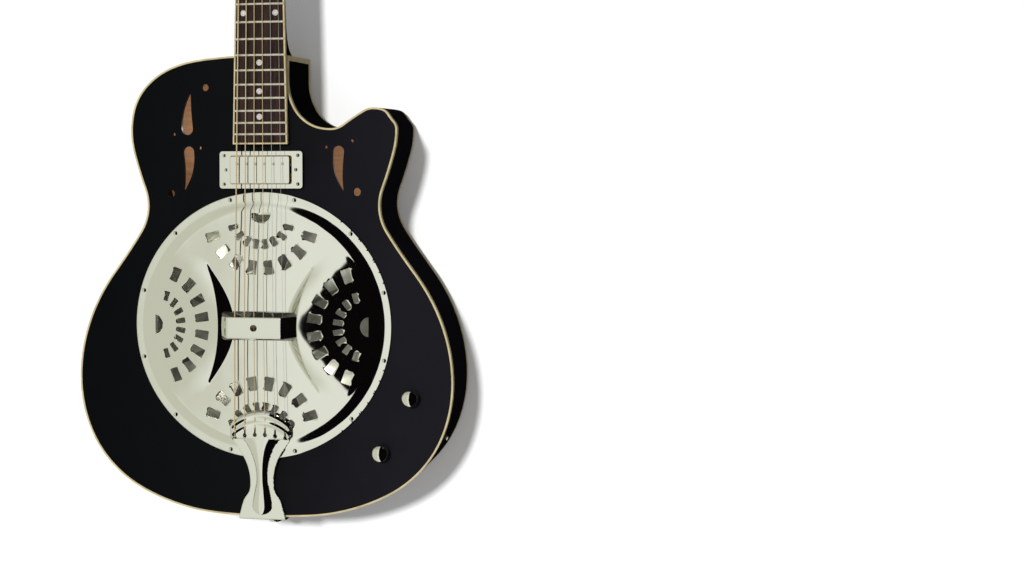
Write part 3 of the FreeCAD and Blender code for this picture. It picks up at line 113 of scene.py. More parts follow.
def place(tree, stretch=(1, 1, 1)):
    """Object coordinates in metres, stretched."""
    coordinates = add(tree, "ShaderNodeTexCoord").outputs["Object"]
    return add(tree, "ShaderNodeMapping", Vector=coordinates, Scale=stretch).outputs[0]


def per_size(size):
    """The texture scale that gives a pattern one feature per size in millimetres."""
    return 1 / (size * MM)


def noise(tree, where, size, detail=3.0, roughness=0.55):
    """Noise with features of a given size in millimetres."""
    return add(tree, "ShaderNodeTexNoise", Vector=where, Scale=per_size(size), Detail=detail,
               Roughness=roughness).outputs["Fac"]


def ramp(tree, value, *stops):
    """A colour ramp through (position, hex colour) stops."""
    item = add(tree, "ShaderNodeValToRGB", Fac=value)
    elements = item.color_ramp.elements
    while len(elements) < len(stops):
        elements.new(0.5)
    for element, (position, colour) in zip(elements, stops):
        element.position = position
        element.color = linear(colour)
    return item.outputs["Color"]


def span(tree, value, low, high):
    """A 0 to 1 value spread between two limits."""
    item = add(tree, "ShaderNodeMapRange", Value=value)
    item.inputs["To Min"].default_value = low
    item.inputs["To Max"].default_value = high
    return item.outputs["Result"]


def relief(tree, surface, height, depth, strength=1.0):
    """A bump of a given depth in millimetres on the shader."""
    bump = add(tree, "ShaderNodeBump", Height=height, Distance=depth * MM, Strength=strength)
    tree.links.new(bump.outputs[0], surface.inputs["Normal"])


def satin_lacquer():
    """Black polyurethane, sprayed and rubbed to satin: cool, with painted light that makes it lighter and a
    little more violet towards the treble side.
    """
    material, tree, surface = shader("satin_black_lacquer", Metallic=0.0, IOR=1.5)
    surface.inputs["Specular IOR Level"].default_value = 0.04
    where = place(tree)
    cloud = noise(tree, where, 60, 2)
    # Painted light: the colour lightens towards the treble side (+x), standing in for more light falling on
    # that side; the cloud noise is the finish's own uneven tone.
    split = add(tree, "ShaderNodeSeparateXYZ", None, Vector=where)
    side = add(tree, "ShaderNodeMapRange", None, Value=split.outputs["X"])
    side.inputs["From Min"].default_value = -0.2
    side.inputs["From Max"].default_value = 0.2
    tone_and_painted_light = add(tree, "ShaderNodeMath", {"operation": "MULTIPLY_ADD"}, n0=cloud, n1=0.25,
                n2=side.outputs["Result"]).outputs[0]
    tone = ramp(tree, tone_and_painted_light, (0.1, "#040507"), (0.6, "#0b0c0e"), (1.0, "#18171c"))
    tree.links.new(tone, surface.inputs["Base Color"])
    tree.links.new(span(tree, noise(tree, where, 25, 4), 0.34, 0.44), surface.inputs["Roughness"])
    relief(tree, surface, noise(tree, where, 2.5, 2), 0.02, 0.35)
    return material


def celluloid():
    """Cream celluloid binding, scraped flush and polished: warm, slightly uneven and a little waxy."""
    material, tree, surface = shader("cream_celluloid", Metallic=0.0, IOR=1.5, Roughness=0.32)
    surface.inputs["Subsurface Weight"].default_value = 0.08
    surface.inputs["Subsurface Radius"].default_value = (0.002, 0.0012, 0.0006)
    where = place(tree)
    tone = ramp(tree, noise(tree, where, 12, 4), (0.3, "#a99c75"), (0.7, "#c4b78e"))
    tree.links.new(tone, surface.inputs["Base Color"])
    relief(tree, surface, noise(tree, where, 1.2, 2), 0.02, 0.3)
    return material


def chrome(name="polished_chrome", tone="#dddfd2", wave=0.0, smear=(0.035, 0.07)):
    """Chromium plate over polished metal: a mirror with faint polishing haze and, on sheet, soft waves."""
    material, tree, surface = shader(name, Metallic=1.0)
    surface.inputs["Base Color"].default_value = linear(tone)
    where = place(tree)
    tree.links.new(span(tree, noise(tree, where, 9, 5), *smear), surface.inputs["Roughness"])
    if wave:
        relief(tree, surface, noise(tree, where, 26, 1, 0.4), wave, 1.0)
    return material


def nickel():
    """Nickel-plated steel: yellower and softer than chrome, with fine turning marks."""
    material, tree, surface = shader("nickel_plate", Metallic=1.0)
    where = place(tree)
    tone = ramp(tree, noise(tree, where, 6, 3), (0.3, "#b9b5a6"), (0.7, "#d2cfc2"))
    tree.links.new(tone, surface.inputs["Base Color"])
    tree.links.new(span(tree, noise(tree, where, 1.5, 3), 0.14, 0.26), surface.inputs["Roughness"])
    return material


def fretwire():
    """Drawn nickel silver, levelled and polished along its crown."""
    material, tree, surface = shader("nickel_silver_wire", Metallic=0.6)
    where = place(tree, (0.2, 1, 1))
    tone = ramp(tree, noise(tree, where, 3, 3), (0.35, "#c5bfa8"), (0.75, "#ddd8c6"))
    tree.links.new(tone, surface.inputs["Base Color"])
    tree.links.new(span(tree, noise(tree, where, 0.8, 3), 0.18, 0.32), surface.inputs["Roughness"])
    return material


def rosewood():
    """Oiled rosewood with its grain along the neck: brown-purple, dark pores and slow colour bands."""
    material, tree, surface = shader("oiled_rosewood", Metallic=0.0, IOR=1.47)
    surface.inputs["Specular IOR Level"].default_value = 0.3
    bands = noise(tree, place(tree, (1, 1, 0.06)), 7, 4)
    pores = noise(tree, place(tree, (1, 1, 0.045)), 0.9, 3, 0.7)
    base = ramp(tree, bands, (0.28, "#1c120f"), (0.5, "#2e1e19"), (0.74, "#402b23"))
    dark = ramp(tree, pores, (0.36, "#0d0807"), (0.52, "#ffffff"))
    mixed = add(tree, "ShaderNodeMix", {"data_type": "RGBA", "blend_type": "MULTIPLY"}, Factor=0.85)
    tree.links.new(base, mixed.inputs[6])
    tree.links.new(dark, mixed.inputs[7])
    tree.links.new(mixed.outputs[2], surface.inputs["Base Color"])
    tree.links.new(span(tree, pores, 0.62, 0.42), surface.inputs["Roughness"])
    relief(tree, surface, pores, 0.08, 0.6)
    return material


def pale_wood(name, light, dark, along):
    """Bare sawn wood: pale, with streaks along its grain."""
    material, tree, surface = shader(name, Metallic=0.0, IOR=1.45)
    streaks = noise(tree, place(tree, along), 3, 5)
    tree.links.new(ramp(tree, streaks, (0.3, dark), (0.7, light)), surface.inputs["Base Color"])
    tree.links.new(span(tree, streaks, 0.55, 0.75), surface.inputs["Roughness"])
    relief(tree, surface, streaks, 0.12, 0.5)
    return material


def pearloid():
    """Grey pearl plastic: cloudy flakes that catch the light unevenly."""
    material, tree, surface = shader("grey_pearloid", Metallic=0.0, IOR=1.55, Roughness=0.22)
    flakes = add(tree, "ShaderNodeTexVoronoi", Vector=place(tree), Scale=per_size(1.6)).outputs["Distance"]
    tone = ramp(tree, flakes, (0.1, "#8e8a86"), (0.5, "#b5b0aa"), (0.9, "#cfcac2"))
    tree.links.new(tone, surface.inputs["Base Color"])
    return material


def bone():
    """Polished bone: ivory, with fine pores."""
    material, tree, surface = shader("polished_bone", Metallic=0.0, IOR=1.54, Roughness=0.3)
    surface.inputs["Subsurface Weight"].default_value = 0.1
    surface.inputs["Subsurface Radius"].default_value = (0.002, 0.0015, 0.001)
    pores = noise(tree, place(tree, (1, 1, 0.3)), 1.1, 4)
    tree.links.new(ramp(tree, pores, (0.3, "#d9cfb4"), (0.6, "#eae3cf")), surface.inputs["Base Color"])
    return material


def dark_plastic():
    """Moulded ABS, black with a green-brown cast and a fine satin texture."""
    material, tree, surface = shader("satin_black_abs", Metallic=0.0, IOR=1.5)
    surface.inputs["Specular IOR Level"].default_value = 0.35
    grit = noise(tree, place(tree), 0.7, 3)
    tree.links.new(ramp(tree, grit, (0.3, "#27271f"), (0.7, "#35352b")), surface.inputs["Base Color"])
    tree.links.new(span(tree, grit, 0.38, 0.5), surface.inputs["Roughness"])
    relief(tree, surface, grit, 0.02, 0.4)
    return material


def black_steel():
    """Black-oxide screws: dark, with a dull metal sheen."""
    material, tree, surface = shader("black_oxide_steel", Metallic=1.0)
    grit = noise(tree, place(tree), 0.8, 3)
    tree.links.new(ramp(tree, grit, (0.3, "#1b1b1b"), (0.7, "#2c2b29")), surface.inputs["Base Color"])
    tree.links.new(span(tree, grit, 0.3, 0.45), surface.inputs["Roughness"])
    return material


def spun_aluminium():
    """Spun aluminium cone: grey, with the spinning tool's rings about its centre."""
    material, tree, surface = shader("spun_aluminium", Metallic=1.0)
    spot = add(tree, "ShaderNodeVectorMath", {"operation": "SUBTRACT"}, n0=place(tree),
               n1=(0, 0, PLATE_LEVEL * MM)).outputs[0]
    flat = add(tree, "ShaderNodeVectorMath", {"operation": "MULTIPLY"}, n0=spot, n1=(1, 0, 1)).outputs[0]
    radius = add(tree, "ShaderNodeVectorMath", {"operation": "LENGTH"}, n0=flat).outputs["Value"]
    turns = add(tree, "ShaderNodeMath", {"operation": "MULTIPLY"}, n0=radius, n1=per_size(0.5)).outputs[0]
    rings = add(tree, "ShaderNodeMath", {"operation": "SINE"}, n0=turns).outputs[0]
    tone = ramp(tree, noise(tree, place(tree), 14, 4), (0.3, "#8d8c84"), (0.7, "#b3b2a8"))
    tree.links.new(tone, surface.inputs["Base Color"])
    surface.inputs["Roughness"].default_value = 0.46
    relief(tree, surface, rings, 0.05, 0.5)
    return material


def cast_metal():
    """Sand-cast aluminium spider: grey and grainy."""
    material, tree, surface = shader("sand_cast_aluminium", Metallic=1.0)
    grain = noise(tree, place(tree), 0.9, 4)
    tree.links.new(ramp(tree, grain, (0.3, "#5d5c56"), (0.7, "#7d7c75")), surface.inputs["Base Color"])
    surface.inputs["Roughness"].default_value = 0.55
    relief(tree, surface, grain, 0.15, 0.8)
    return material


def wire(name, light, dark, wrap):
    """String wire; a wrap repeats every 2 pi times its size, coarser than the real 0.4 mm so that it shows,
    with painted shade in the grooves between its turns.
    """
    material, tree, surface = shader(name, Metallic=0.4)
    where = place(tree)
    if wrap:
        turns = add(tree, "ShaderNodeTexWave", {"bands_direction": "Z"}, Vector=where,
                    Scale=per_size(wrap) / 20, Distortion=0.0).outputs["Fac"]
        # Painted shade: the wrap's colour darkens where its bump is lowest, in the grooves between the turns.
        tree.links.new(ramp(tree, turns, (0.15, dark), (0.6, light)), surface.inputs["Base Color"])
        relief(tree, surface, turns, 0.15, 0.8)
    else:
        tone = ramp(tree, noise(tree, where, 5, 3), (0.3, dark), (0.7, light))
        tree.links.new(tone, surface.inputs["Base Color"])
    tree.links.new(span(tree, noise(tree, where, 2, 2), 0.24, 0.36), surface.inputs["Roughness"])
    return material


def copper():
    """Enamelled copper winding."""
    material, tree, surface = shader("enamelled_copper", Metallic=1.0)
    turns = noise(tree, place(tree, (0.1, 1, 1)), 0.5, 2)
    tree.links.new(ramp(tree, turns, (0.3, "#5a2412"), (0.7, "#98452a")), surface.inputs["Base Color"])
    tree.links.new(span(tree, turns, 0.3, 0.5), surface.inputs["Roughness"])
    return material


LACQUER = satin_lacquer()
CREAM = celluloid()
CHROME = chrome()
SHEET_CHROME = chrome("stamped_chrome_sheet", wave=0.35)
TUNER_CHROME = chrome("tuner_chrome", tone="#d3d4c8", smear=(0.05, 0.1))
NICKEL = nickel()
FRETWIRE = fretwire()
ROSEWOOD = rosewood()
PLYWOOD = pale_wood("bare_plywood", "#c29c78", "#a37e5c", (0.15, 1, 1))
MAPLE = pale_wood("bare_maple", "#d8b483", "#bd9461", (0.1, 1, 1))
PEARL = pearloid()
BONE = bone()
PLASTIC = dark_plastic()
BLACK_STEEL = black_steel()
ALUMINIUM = spun_aluminium()
CASTING = cast_metal()
BRONZE = wire("bronze_wound_wire", "#dccba0", "#cdb78a", 0.45)
STEEL_WIRE = wire("plain_steel_wire", "#cfcdc4", "#b3b1a8", 0)
COPPER = copper()

FINISHES = {
    LACQUER: ("soundboard", "back_plate", "side_bass", "side_treble", "side_cutaway", "neck"),
    CREAM: ("top_binding", "back_binding", "shoulder_binding", "fretboard_binding"),
    PLYWOOD: ("linings", "neck_block", "tail_block", "soundwell_ring"),
    CHROME: ("coverplate_screws", "end_strap_button", "pickup_ring", "pickup_cover", "output_jack",
             "coverplate", "palm_rest", "tailpiece", "volume_knob", "tone_knob"),
    TUNER_CHROME: ("tuner_housings", "tuner_bushings") + tuple(f"tuner_post_{i}" for i in range(1, 7))
    + tuple(f"tuner_key_{i}" for i in range(1, 7)),
    NICKEL: ("pickup_baseplate", "pickup_pole_screws", "pickup_height_screws", "pickup_springs",
             "pickup_ring_screws", "control_pots", "pot_nuts", "volume_shaft", "tone_shaft"),
    ALUMINIUM: ("resonator_cone",),
    CASTING: ("spider_bridge",),
    MAPLE: ("bridge_saddles",),
    COPPER: ("pickup_coils", "tension_screw"),
    ROSEWOOD: ("fretboard",),
    FRETWIRE: ("frets",),
    PEARL: ("position_dots",),
    BONE: ("nut",),
    PLASTIC: ("truss_rod_cover",),
    BLACK_STEEL: ("truss_rod", "truss_cover_screws"),
    BRONZE: ("wound_strings",),
    STEEL_WIRE: ("plain_strings",),
}
SOFT_EDGES = {"pickup_ring": 0.7, "neck": 0.8, "tuner_housings": 0.9, "output_jack": 0.3,
              "tuner_bushings": 0.25, "end_strap_button": 0.3, "truss_rod_cover": 0.3, "nut": 0.3}


def dress_frame():
    """Gives every CAD node its material, smooth shading and, where it shows, a softened edge."""
    for material, names in FINISHES.items():
        for name in names:
            node = NODES[name]
            node.data.materials.clear()
            node.data.materials.append(material)
            node.data.shade_smooth()
            node.data.set_sharp_from_angle(angle=math.radians(32))
    for name, width in SOFT_EDGES.items():
        bevel = NODES[name].modifiers.new("soft_edge", "BEVEL")
        bevel.width = width * MM
        bevel.segments = 2
        bevel.limit_method = "ANGLE"
        bevel.angle_limit = math.radians(40)
        bevel.use_clamp_overlap = True


def paint_inside():
    """Bare wood on the box's inner faces: those that look towards the middle of the body."""
    for name in ("back_plate", "soundboard"):
        mesh = NODES[name].data
        mesh.materials.append(PLYWOOD)
        level = FRONT * MM if name == "soundboard" else BACK * MM
        for face in mesh.polygons:
            if abs(face.center.y - level) > 0.9 * MM and abs(face.normal.y) > 0.9:
                face.material_index = 1


# Mesh helpers

def piece(name, vertices, faces, material, body="guitar", smooth=None):
    """A mesh in millimetres made into a piece that rides on a body."""
    mesh = bpy.data.meshes.new(name)
    mesh.from_pydata([Vector(v) * MM for v in vertices], [], faces)
    mesh.materials.append(material)
    mesh.update()
    item = bpy.data.objects.new(name, mesh)
    bpy.context.scene.collection.objects.link(item)
    if smooth is not None:
        mesh.shade_smooth()
        mesh.set_sharp_from_angle(angle=math.radians(smooth))
    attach(item, body)
    return item


def basis(direction):
    """Two directions square to a direction."""
    direction = direction.normalized()
    side = direction.orthogonal().normalized()
    return side, direction.cross(side)


def lathe(profile, start, direction, steps=48):
    """The vertices and faces of an open (radius, height) profile turned about an axis."""
    side, up = basis(direction)
    direction = direction.normalized()
    vertices, faces = [], []
    for radius, height in profile:
        for k in range(steps):
            angle = 2 * math.pi * k / steps
            spoke = side * math.cos(angle) + up * math.sin(angle)
            vertices.append(start + direction * height + spoke * radius)
    for row in range(len(profile) - 1):
        for k in range(steps):
            a, b = row * steps + k, row * steps + (k + 1) % steps
            faces.append((a, b, b + steps, a + steps))
    return vertices, faces


def joined(*parts):
    """Several (vertices, faces) pairs as one."""
    vertices, faces = [], []
    for more_vertices, more_faces in parts:
        offset = len(vertices)
        vertices += list(more_vertices)
        faces += [tuple(i + offset for i in face) for face in more_faces]
    return vertices, faces


def smoothstep(value, low, high):
    """0 below low, 1 above high and smooth between."""
    t = min(1.0, max(0.0, (value - low) / (high - low)))
    return t * t * (3 - 2 * t)


def blended(a, b, reach):
    """The larger of two heights, with the crease between them rounded over a reach."""
    mix = max(0.0, reach - abs(a - b)) / reach
    return max(a, b) + mix * mix * reach / 4


def circle(x, y, radius, steps):
    """Points around a circle."""
    return [(x + radius * math.cos(2 * math.pi * k / steps), y + radius * math.sin(2 * math.pi * k / steps))
            for k in range(steps)]


def inside(point, loop):
    """Whether a point is inside a loop of points."""
    x, y = point
    hit = False
    for (x0, y0), (x1, y1) in zip(loop, loop[1:] + loop[:1]):
        if (y0 > y) != (y1 > y) and x < (x1 - x0) * (y - y0) / (y1 - y0) + x0:
            hit = not hit
    return hit


def grown(loop, reach):
    """A loop pushed away from its middle by about a reach."""
    cx, cy = (sum(p[i] for p in loop) / len(loop) for i in (0, 1))
    size = sum(math.hypot(x - cx, y - cy) for x, y in loop) / len(loop)
    return [(cx + (x - cx) * (1 + reach / size), cy + (y - cy) * (1 + reach / size)) for x, y in loop]


def sheet_mesh(outline, holes, spacing, creases=()):
    """A flat triangle mesh inside an outline and outside its holes.

    A regular grid fills it, and creases are points that follow its sharper bends.
    """
    loops = [outline] + holes
    points, edges = [], []
    for loop in loops:
        first = len(points)
        points += loop
        edges += [(first + k, first + (k + 1) % len(loop)) for k in range(len(loop))]
    boxes = [(min(x for x, _ in h), max(x for x, _ in h), min(y for _, y in h), max(y for _, y in h), h)
             for h in holes]

    def in_hole(x, y):
        return any(x0 < x < x1 and y0 < y < y1 and inside((x, y), h) for x0, x1, y0, y1, h in boxes)

    taken = {}
    for p in points:
        taken.setdefault((int(p[0] // 0.6), int(p[1] // 0.6)), []).append(p)
    for x, y in list(creases) + [q for h in holes for q in grown(h, 0.45)]:
        cell = (int(x // 0.6), int(y // 0.6))
        crowded = any(math.hypot(x - q[0], y - q[1]) < 0.3 for i in (-1, 0, 1) for j in (-1, 0, 1)
                      for q in taken.get((cell[0] + i, cell[1] + j), ()))
        if not crowded and inside((x, y), outline) and not in_hole(x, y):
            points.append((x, y))
            taken.setdefault(cell, []).append((x, y))
    low = [min(p[i] for p in outline) for i in (0, 1)]
    high = [max(p[i] for p in outline) for i in (0, 1)]
    cells = {}
    for p in points:
        cells.setdefault((int(p[0] // spacing), int(p[1] // spacing)), []).append(p)
    rows = int((high[1] - low[1]) / (spacing * 0.866)) + 1
    for row in range(rows):
        y = low[1] + row * spacing * 0.866
        for column in range(int((high[0] - low[0]) / spacing) + 2):
            x = low[0] + (column + 0.5 * (row % 2)) * spacing
            cell = (int(x // spacing), int(y // spacing))
            near = any((x - q[0]) ** 2 + (y - q[1]) ** 2 < (0.55 * spacing) ** 2
                       for i in (-1, 0, 1) for j in (-1, 0, 1)
                       for q in cells.get((cell[0] + i, cell[1] + j), ()))
            if not near and inside((x, y), outline) and not in_hole(x, y):
                points.append((x, y))
    flat, _, triangles, *_ = delaunay_2d_cdt([Vector(p) for p in points], edges, [], 0, 1e-6)
    kept = []
    for triangle in triangles:
        middle = sum((flat[i] for i in triangle), Vector((0, 0))) / 3
        if inside(middle, outline) and not in_hole(*middle):
            kept.append(tuple(triangle))
    return [tuple(p) for p in flat], kept


def stamped(name, flat, triangles, lift, thickness, material, body="guitar"):
    """A pressed sheet: its face follows lift(x, y) -> (point, normal), its back lies one thickness behind."""
    used = sorted({i for triangle in triangles for i in triangle})
    index = {old: new for new, old in enumerate(used)}
    tops, normals = zip(*(lift(*flat[i]) for i in used))
    count = len(used)
    vertices = list(tops) + [top - normal * thickness for top, normal in zip(tops, normals)]
    all_normals = list(normals) + [-normal for normal in normals]
    faces, border = [], {}
    for triangle in triangles:
        a, b, c = (index[i] for i in triangle)
        if (tops[b] - tops[a]).cross(tops[c] - tops[a]).dot(normals[a]) < 0:
            b, c = c, b
        faces += [(a, b, c), (a + count, c + count, b + count)]
        for edge in ((a, b), (b, c), (c, a)):
            border[edge] = border.get(edge, 0) + 1
    for a, b in border:
        if (b, a) in border:
            continue
        outward = (tops[b] - tops[a]).cross(normals[a]).normalized()
        for end in (a, b):
            all_normals[end] = (all_normals[end] + outward * 0.35).normalized()
        first = len(vertices)
        vertices += [tops[a], tops[b], tops[b] - normals[b] * thickness, tops[a] - normals[a] * thickness]
        all_normals += [outward] * 4
        faces.append((first + 1, first, first + 3, first + 2))
    item = piece(name, vertices, faces, material, body)
    item.data.shade_smooth()
    item.data.normals_split_custom_set_from_vertices([tuple(n) for n in all_normals])
    return item


def slope_normal(height, x, z, step=0.15):
    """The outward normal of a height over the front plane."""
    dx = (height(x + step, z) - height(x - step, z)) / (2 * step)
    dz = (height(x, z + step) - height(x, z - step)) / (2 * step)
    return Vector((-dx, -1, -dz)).normalized()


# Coverplate

FLANGE_INNER = 134.5
STEP_INNER = 123.0
RIM_LEVEL, RIM_RISE, DOME_RISE = 1.0, 3.0, 4.0
LOBE_EDGE = 43.2
LOBE_TOP = 18.3
LOBE_WALL_SLOPE = 0.86
FAN_REACH = 113
# A fan's two rows of eight slots: distance out, degrees apart, length and width
FAN_ROWS = ((51.7, 20.4, 14.9, 9.4), (26.4, 21.4, 10.4, 5.6))
SHEET_THICKNESS = 1.0
STRAP_THICKNESS = 1.6
PALM_WIDTH = corners("palm_rest")[1].z - corners("palm_rest")[0].z


def cap_height(u, w):
    """A lobe's crown: highest at its inner edge, sloping to the rim and fanning outwards."""
    u = max(u, 20)
    return LOBE_TOP - 0.062 * (u - 40) - 0.0011 * (u - 40) ** 2 - 0.0035 * (50 / u) ** 1.2 * w * w


def plate_height(x, w):
    """The coverplate's face above the soundboard, from its own centre."""
    radius = math.hypot(x, w)
    low = RIM_LEVEL + RIM_RISE * (1 - smoothstep(radius, STEP_INNER, FLANGE_INNER))
    dome = low + DOME_RISE * max(0.0, 1 - (radius / STEP_INNER) ** 2) ** 1.3
    u = abs(x)
    edge = lobe_edge(w)
    crown = cap_height(u, w) if u >= edge else cap_height(edge, w) - LOBE_WALL_SLOPE * (edge - u)
    inside_rim = 1 - smoothstep(radius, STEP_INNER - 5, STEP_INNER + 1)
    lobe = blended(dome, crown, 2.4)
    return dome + (lobe - dome) * inside_rim


def lobe_edge(w):
    """How far out a side lobe's inner edge stands at a level."""
    return LOBE_EDGE + 0.0042 * w * w


def plate_creases():
    """Points along the plate's rim step and its side lobes' inner walls."""
    rings = (121, 123, 125, 126.5, 128, 129.5, 131, 132.5, 134, 135.5, 137.5, 139.5, 141.2)
    points = [p for r in rings for p in circle(0, 0, r, int(r * 2.6))]
    for side in (-1, 1):
        for step in range(-18, 7):
            for k in range(-60, 61):
                points.append((side * (lobe_edge(k) + step * 0.8), float(k)))
    return points


def lift_plate(x, w):
    """A coverplate point and its normal in the guitar's frame."""
    point = Vector((x, FRONT - plate_height(x, w), PLATE_LEVEL + w))
    return point, slope_normal(plate_height, x, w)


def turned_loop(loop, angle, cx, cy):
    """A loop turned about the origin, then moved."""
    c, s = math.cos(angle), math.sin(angle)
    return [(cx + x * c - y * s, cy + x * s + y * c) for x, y in loop]


def rounded_box(length, width, corner, steps=2):
    """A rectangle's loop with rounded corners, long side along x."""
    loop = []
    for sx, sy, start in ((1, 1, 0), (-1, 1, 90), (-1, -1, 180), (1, -1, 270)):
        cx, cy = sx * (length / 2 - corner), sy * (width / 2 - corner)
        for k in range(steps + 1):
            angle = math.radians(start + 90 * k / steps)
            loop.append((cx + corner * math.cos(angle), cy + corner * math.sin(angle)))
    return loop


def fan_loops():
    """The four fans: eight long slots, eight short ones and a half moon each."""
    loops = []
    for quarter in range(4):
        turn = math.pi / 2 * quarter
        cx, cy = FAN_REACH * math.cos(turn), FAN_REACH * math.sin(turn)
        for reach, spread, length, width in FAN_ROWS:
            for step in range(8):
                angle = spread * (step - 3.5)
                out = reach + 0.00095 * angle * angle
                wedge = [(x + out, y * (1 + 0.012 * x)) for x, y in rounded_box(length, width, 0.8)]
                loops.append(turned_loop(wedge, turn + math.pi + math.radians(angle), cx, cy))
        moon = [(5.2 + 8.6 * math.cos(a), 10.3 * math.sin(a))
                for a in (math.radians(90 + 180 * k / 12) for k in range(13))]
        loops.append(turned_loop(moon, turn, cx, cy))
    return loops


def make_coverplate():
    """The stamped plate: rim step, four lobes, fans of slots and the mouth under the palm rest."""
    mouth = rounded_box(80, PALM_WIDTH + 7.2, 2)
    flat, triangles = sheet_mesh(circle(0, 0, PLATE_RADIUS, 300), fan_loops() + [mouth], 2.4, plate_creases())
    plate = stamped("coverplate_sheet", flat, triangles, lift_plate, SHEET_THICKNESS, SHEET_CHROME)
    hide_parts("coverplate")


def make_palm_rest():
    """A chrome strap bent over the strings, softly creased, with a hole above the bridge screw."""
    low, high = corners("palm_rest")
    top = FRONT - low.y
    half_width = PALM_WIDTH / 2
    foot = (high.x - low.x) / 2

    def height(x, w):
        drop = 1.22 * max(0.0, abs(x) - 29.5) ** 2 / (max(0.0, abs(x) - 29.5) + 1.6)
        return top - drop - 0.006 * w * w

    def lift(x, w):
        return Vector((x, FRONT - height(x, w), PLATE_LEVEL + w)), slope_normal(height, x, w)

    reach = min(foot, 46.5)
    outline = [(sx * reach, sy * half_width) for sx, sy in ((1, 1), (-1, 1), (-1, -1), (1, -1))]
    border = []
    for (x0, y0), (x1, y1) in zip(outline, outline[1:] + outline[:1]):
        steps = 40 if abs(x1 - x0) > 1 else 10
        border += [(x0 + (x1 - x0) * k / steps, y0 + (y1 - y0) * k / steps) for k in range(steps)]
    flat, triangles = sheet_mesh(border, [circle(0, 0, 3.5, 24)], 2.0)
    strap = stamped("palm_rest_strap", flat, triangles, lift, STRAP_THICKNESS, CHROME)
    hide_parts("palm_rest")


# Tailpiece

# Half widths of the plate and of its bead, as (level above the tail, half width)
TAIL_HALF = ((0, 25.7), (18.8, 20.1), (28, 14.2), (39, 13), (51, 14.4),
             (64, 19.2), (82, 31), (86, 32.6), (101, 33))
BEAD_HALF = ((4, 9.5), (13, 10.5), (28, 8.1), (40, 5.75), (55, 6.7), (68, 10.5), (78, 15.5), (85, 21))
HEAD_START = 84.0


def along(table, z):
    """A value between stations, eased so that the line bends softly."""
    stations = [table[0]] + list(table) + [table[-1]]
    if z <= table[0][0]:
        return table[0][1]
    for i in range(1, len(stations) - 2):
        (z0, a), (z1, b), (z2, c), (z3, d) = stations[i - 1:i + 3]
        if z <= z2:
            t = (z - z1) / (z2 - z1)
            m1 = (c - a) / max(z2 - z0, 1e-6) * (z2 - z1)
            m2 = (d - b) / max(z3 - z1, 1e-6) * (z2 - z1)
            return ((2 * t ** 3 - 3 * t ** 2 + 1) * b + (t ** 3 - 2 * t ** 2 + t) * m1
                    + (-2 * t ** 3 + 3 * t ** 2) * c + (t ** 3 - t ** 2) * m2)
    return table[-1][1]


def tail_arch(x):
    """The level of the tailpiece's arched top edge."""
    return TAIL_TOP - 13.4 * (abs(x) / TAIL_HALF[-1][1]) ** 2.2


def rounded_rise(depth, width, height):
    """A quarter-round shoulder: nothing at depth 0 and the full height at its width."""
    t = min(1.0, max(0.0, depth / width))
    return height * math.sqrt(max(0.0, 1 - (1 - t) ** 2))


def tail_height(x, z):
    """The tailpiece's face above the soundboard."""
    flange = 3.4 + 2.6 * smoothstep(z, 30, 76)
    half = along(BEAD_HALF, max(z, 4))
    if z < 13:
        fall = max(0.0, (13 - z) / 9.5)
        half = 10.5 * math.sqrt(max(0.0, 1 - fall * fall))
    bead = rounded_rise(half - abs(x), max(0.8 * half, 0.5), 4.0) if half > 0.2 else 0.0
    head = rounded_rise(z - HEAD_START, 2.2, 4.0)
    edge = along(TAIL_HALF, z) - abs(x)
    if z > HEAD_START:
        head = min(head, rounded_rise(edge + 1.2, 3.4, 4.0))
    level = flange + max(bead, head)
    below = tail_arch(x) - z
    level += 1.6 * math.exp(-((below - 4.5) / 2.4) ** 2) + 1.3 * math.exp(-((below - 12.5) / 2.2) ** 2)
    return level - 1.8 * smoothstep(1.6 - below, 0, 1.6)


def lift_tail(x, s):
    """A tailpiece point: the front face above the tail's edge, the fold under it below."""
    bend = 2.2
    front = FRONT - tail_height(x, max(s, 0.4))
    if s >= 0:
        return Vector((x, front, s - 0.3)), slope_normal(tail_height, x, max(s, 0.4))
    turn = min(-s / bend, math.pi / 2)
    centre = Vector((x, front + bend, -0.3))
    normal = Vector((0, -math.cos(turn), -math.sin(turn)))
    point = centre + normal * bend
    run = max(0.0, -s - bend * math.pi / 2)
    return point + Vector((0, run, 0)), normal


def make_tailpiece():
    """The pressed tailpiece with its bead, rolled head, six keyholes and the strap button's hole."""
    levels = [TAIL_HALF[-1][0] * k / 44 for k in range(45)]
    foot, shoulder = TAIL_HALF[0][1], TAIL_HALF[-1][1]
    right = [(foot, -30)] + [(foot, -28 + 2 * k) for k in range(14)]
    right += [(along(TAIL_HALF, z), z) for z in levels]
    arch = [shoulder * math.cos(math.radians(a)) for a in range(6, 90, 6)]
    right += [(x, tail_arch(x)) for x in arch]
    outline = right + [(0, TAIL_TOP)] + [(-x, z) for x, z in reversed(right)]
    holes = [circle(0, -22, 2.4, 20)]
    for k in range(6):
        x = 11.2 * (k - 2.5)
        z = 89.2 - 3.5 * (x / 28) ** 2
        round_end = [(x + 2 * math.sin(math.radians(a)), z - 2 * math.cos(math.radians(a)))
                     for a in range(-150, 151, 25)]
        holes.append(round_end + [(x + 0.7, z + 7), (x - 0.7, z + 7)])
    flat, triangles = sheet_mesh(outline, holes, 0.9)
    plate = stamped("tailpiece_plate", flat, triangles, lift_tail, 1.5, CHROME)
    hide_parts("tailpiece")


# Knobs

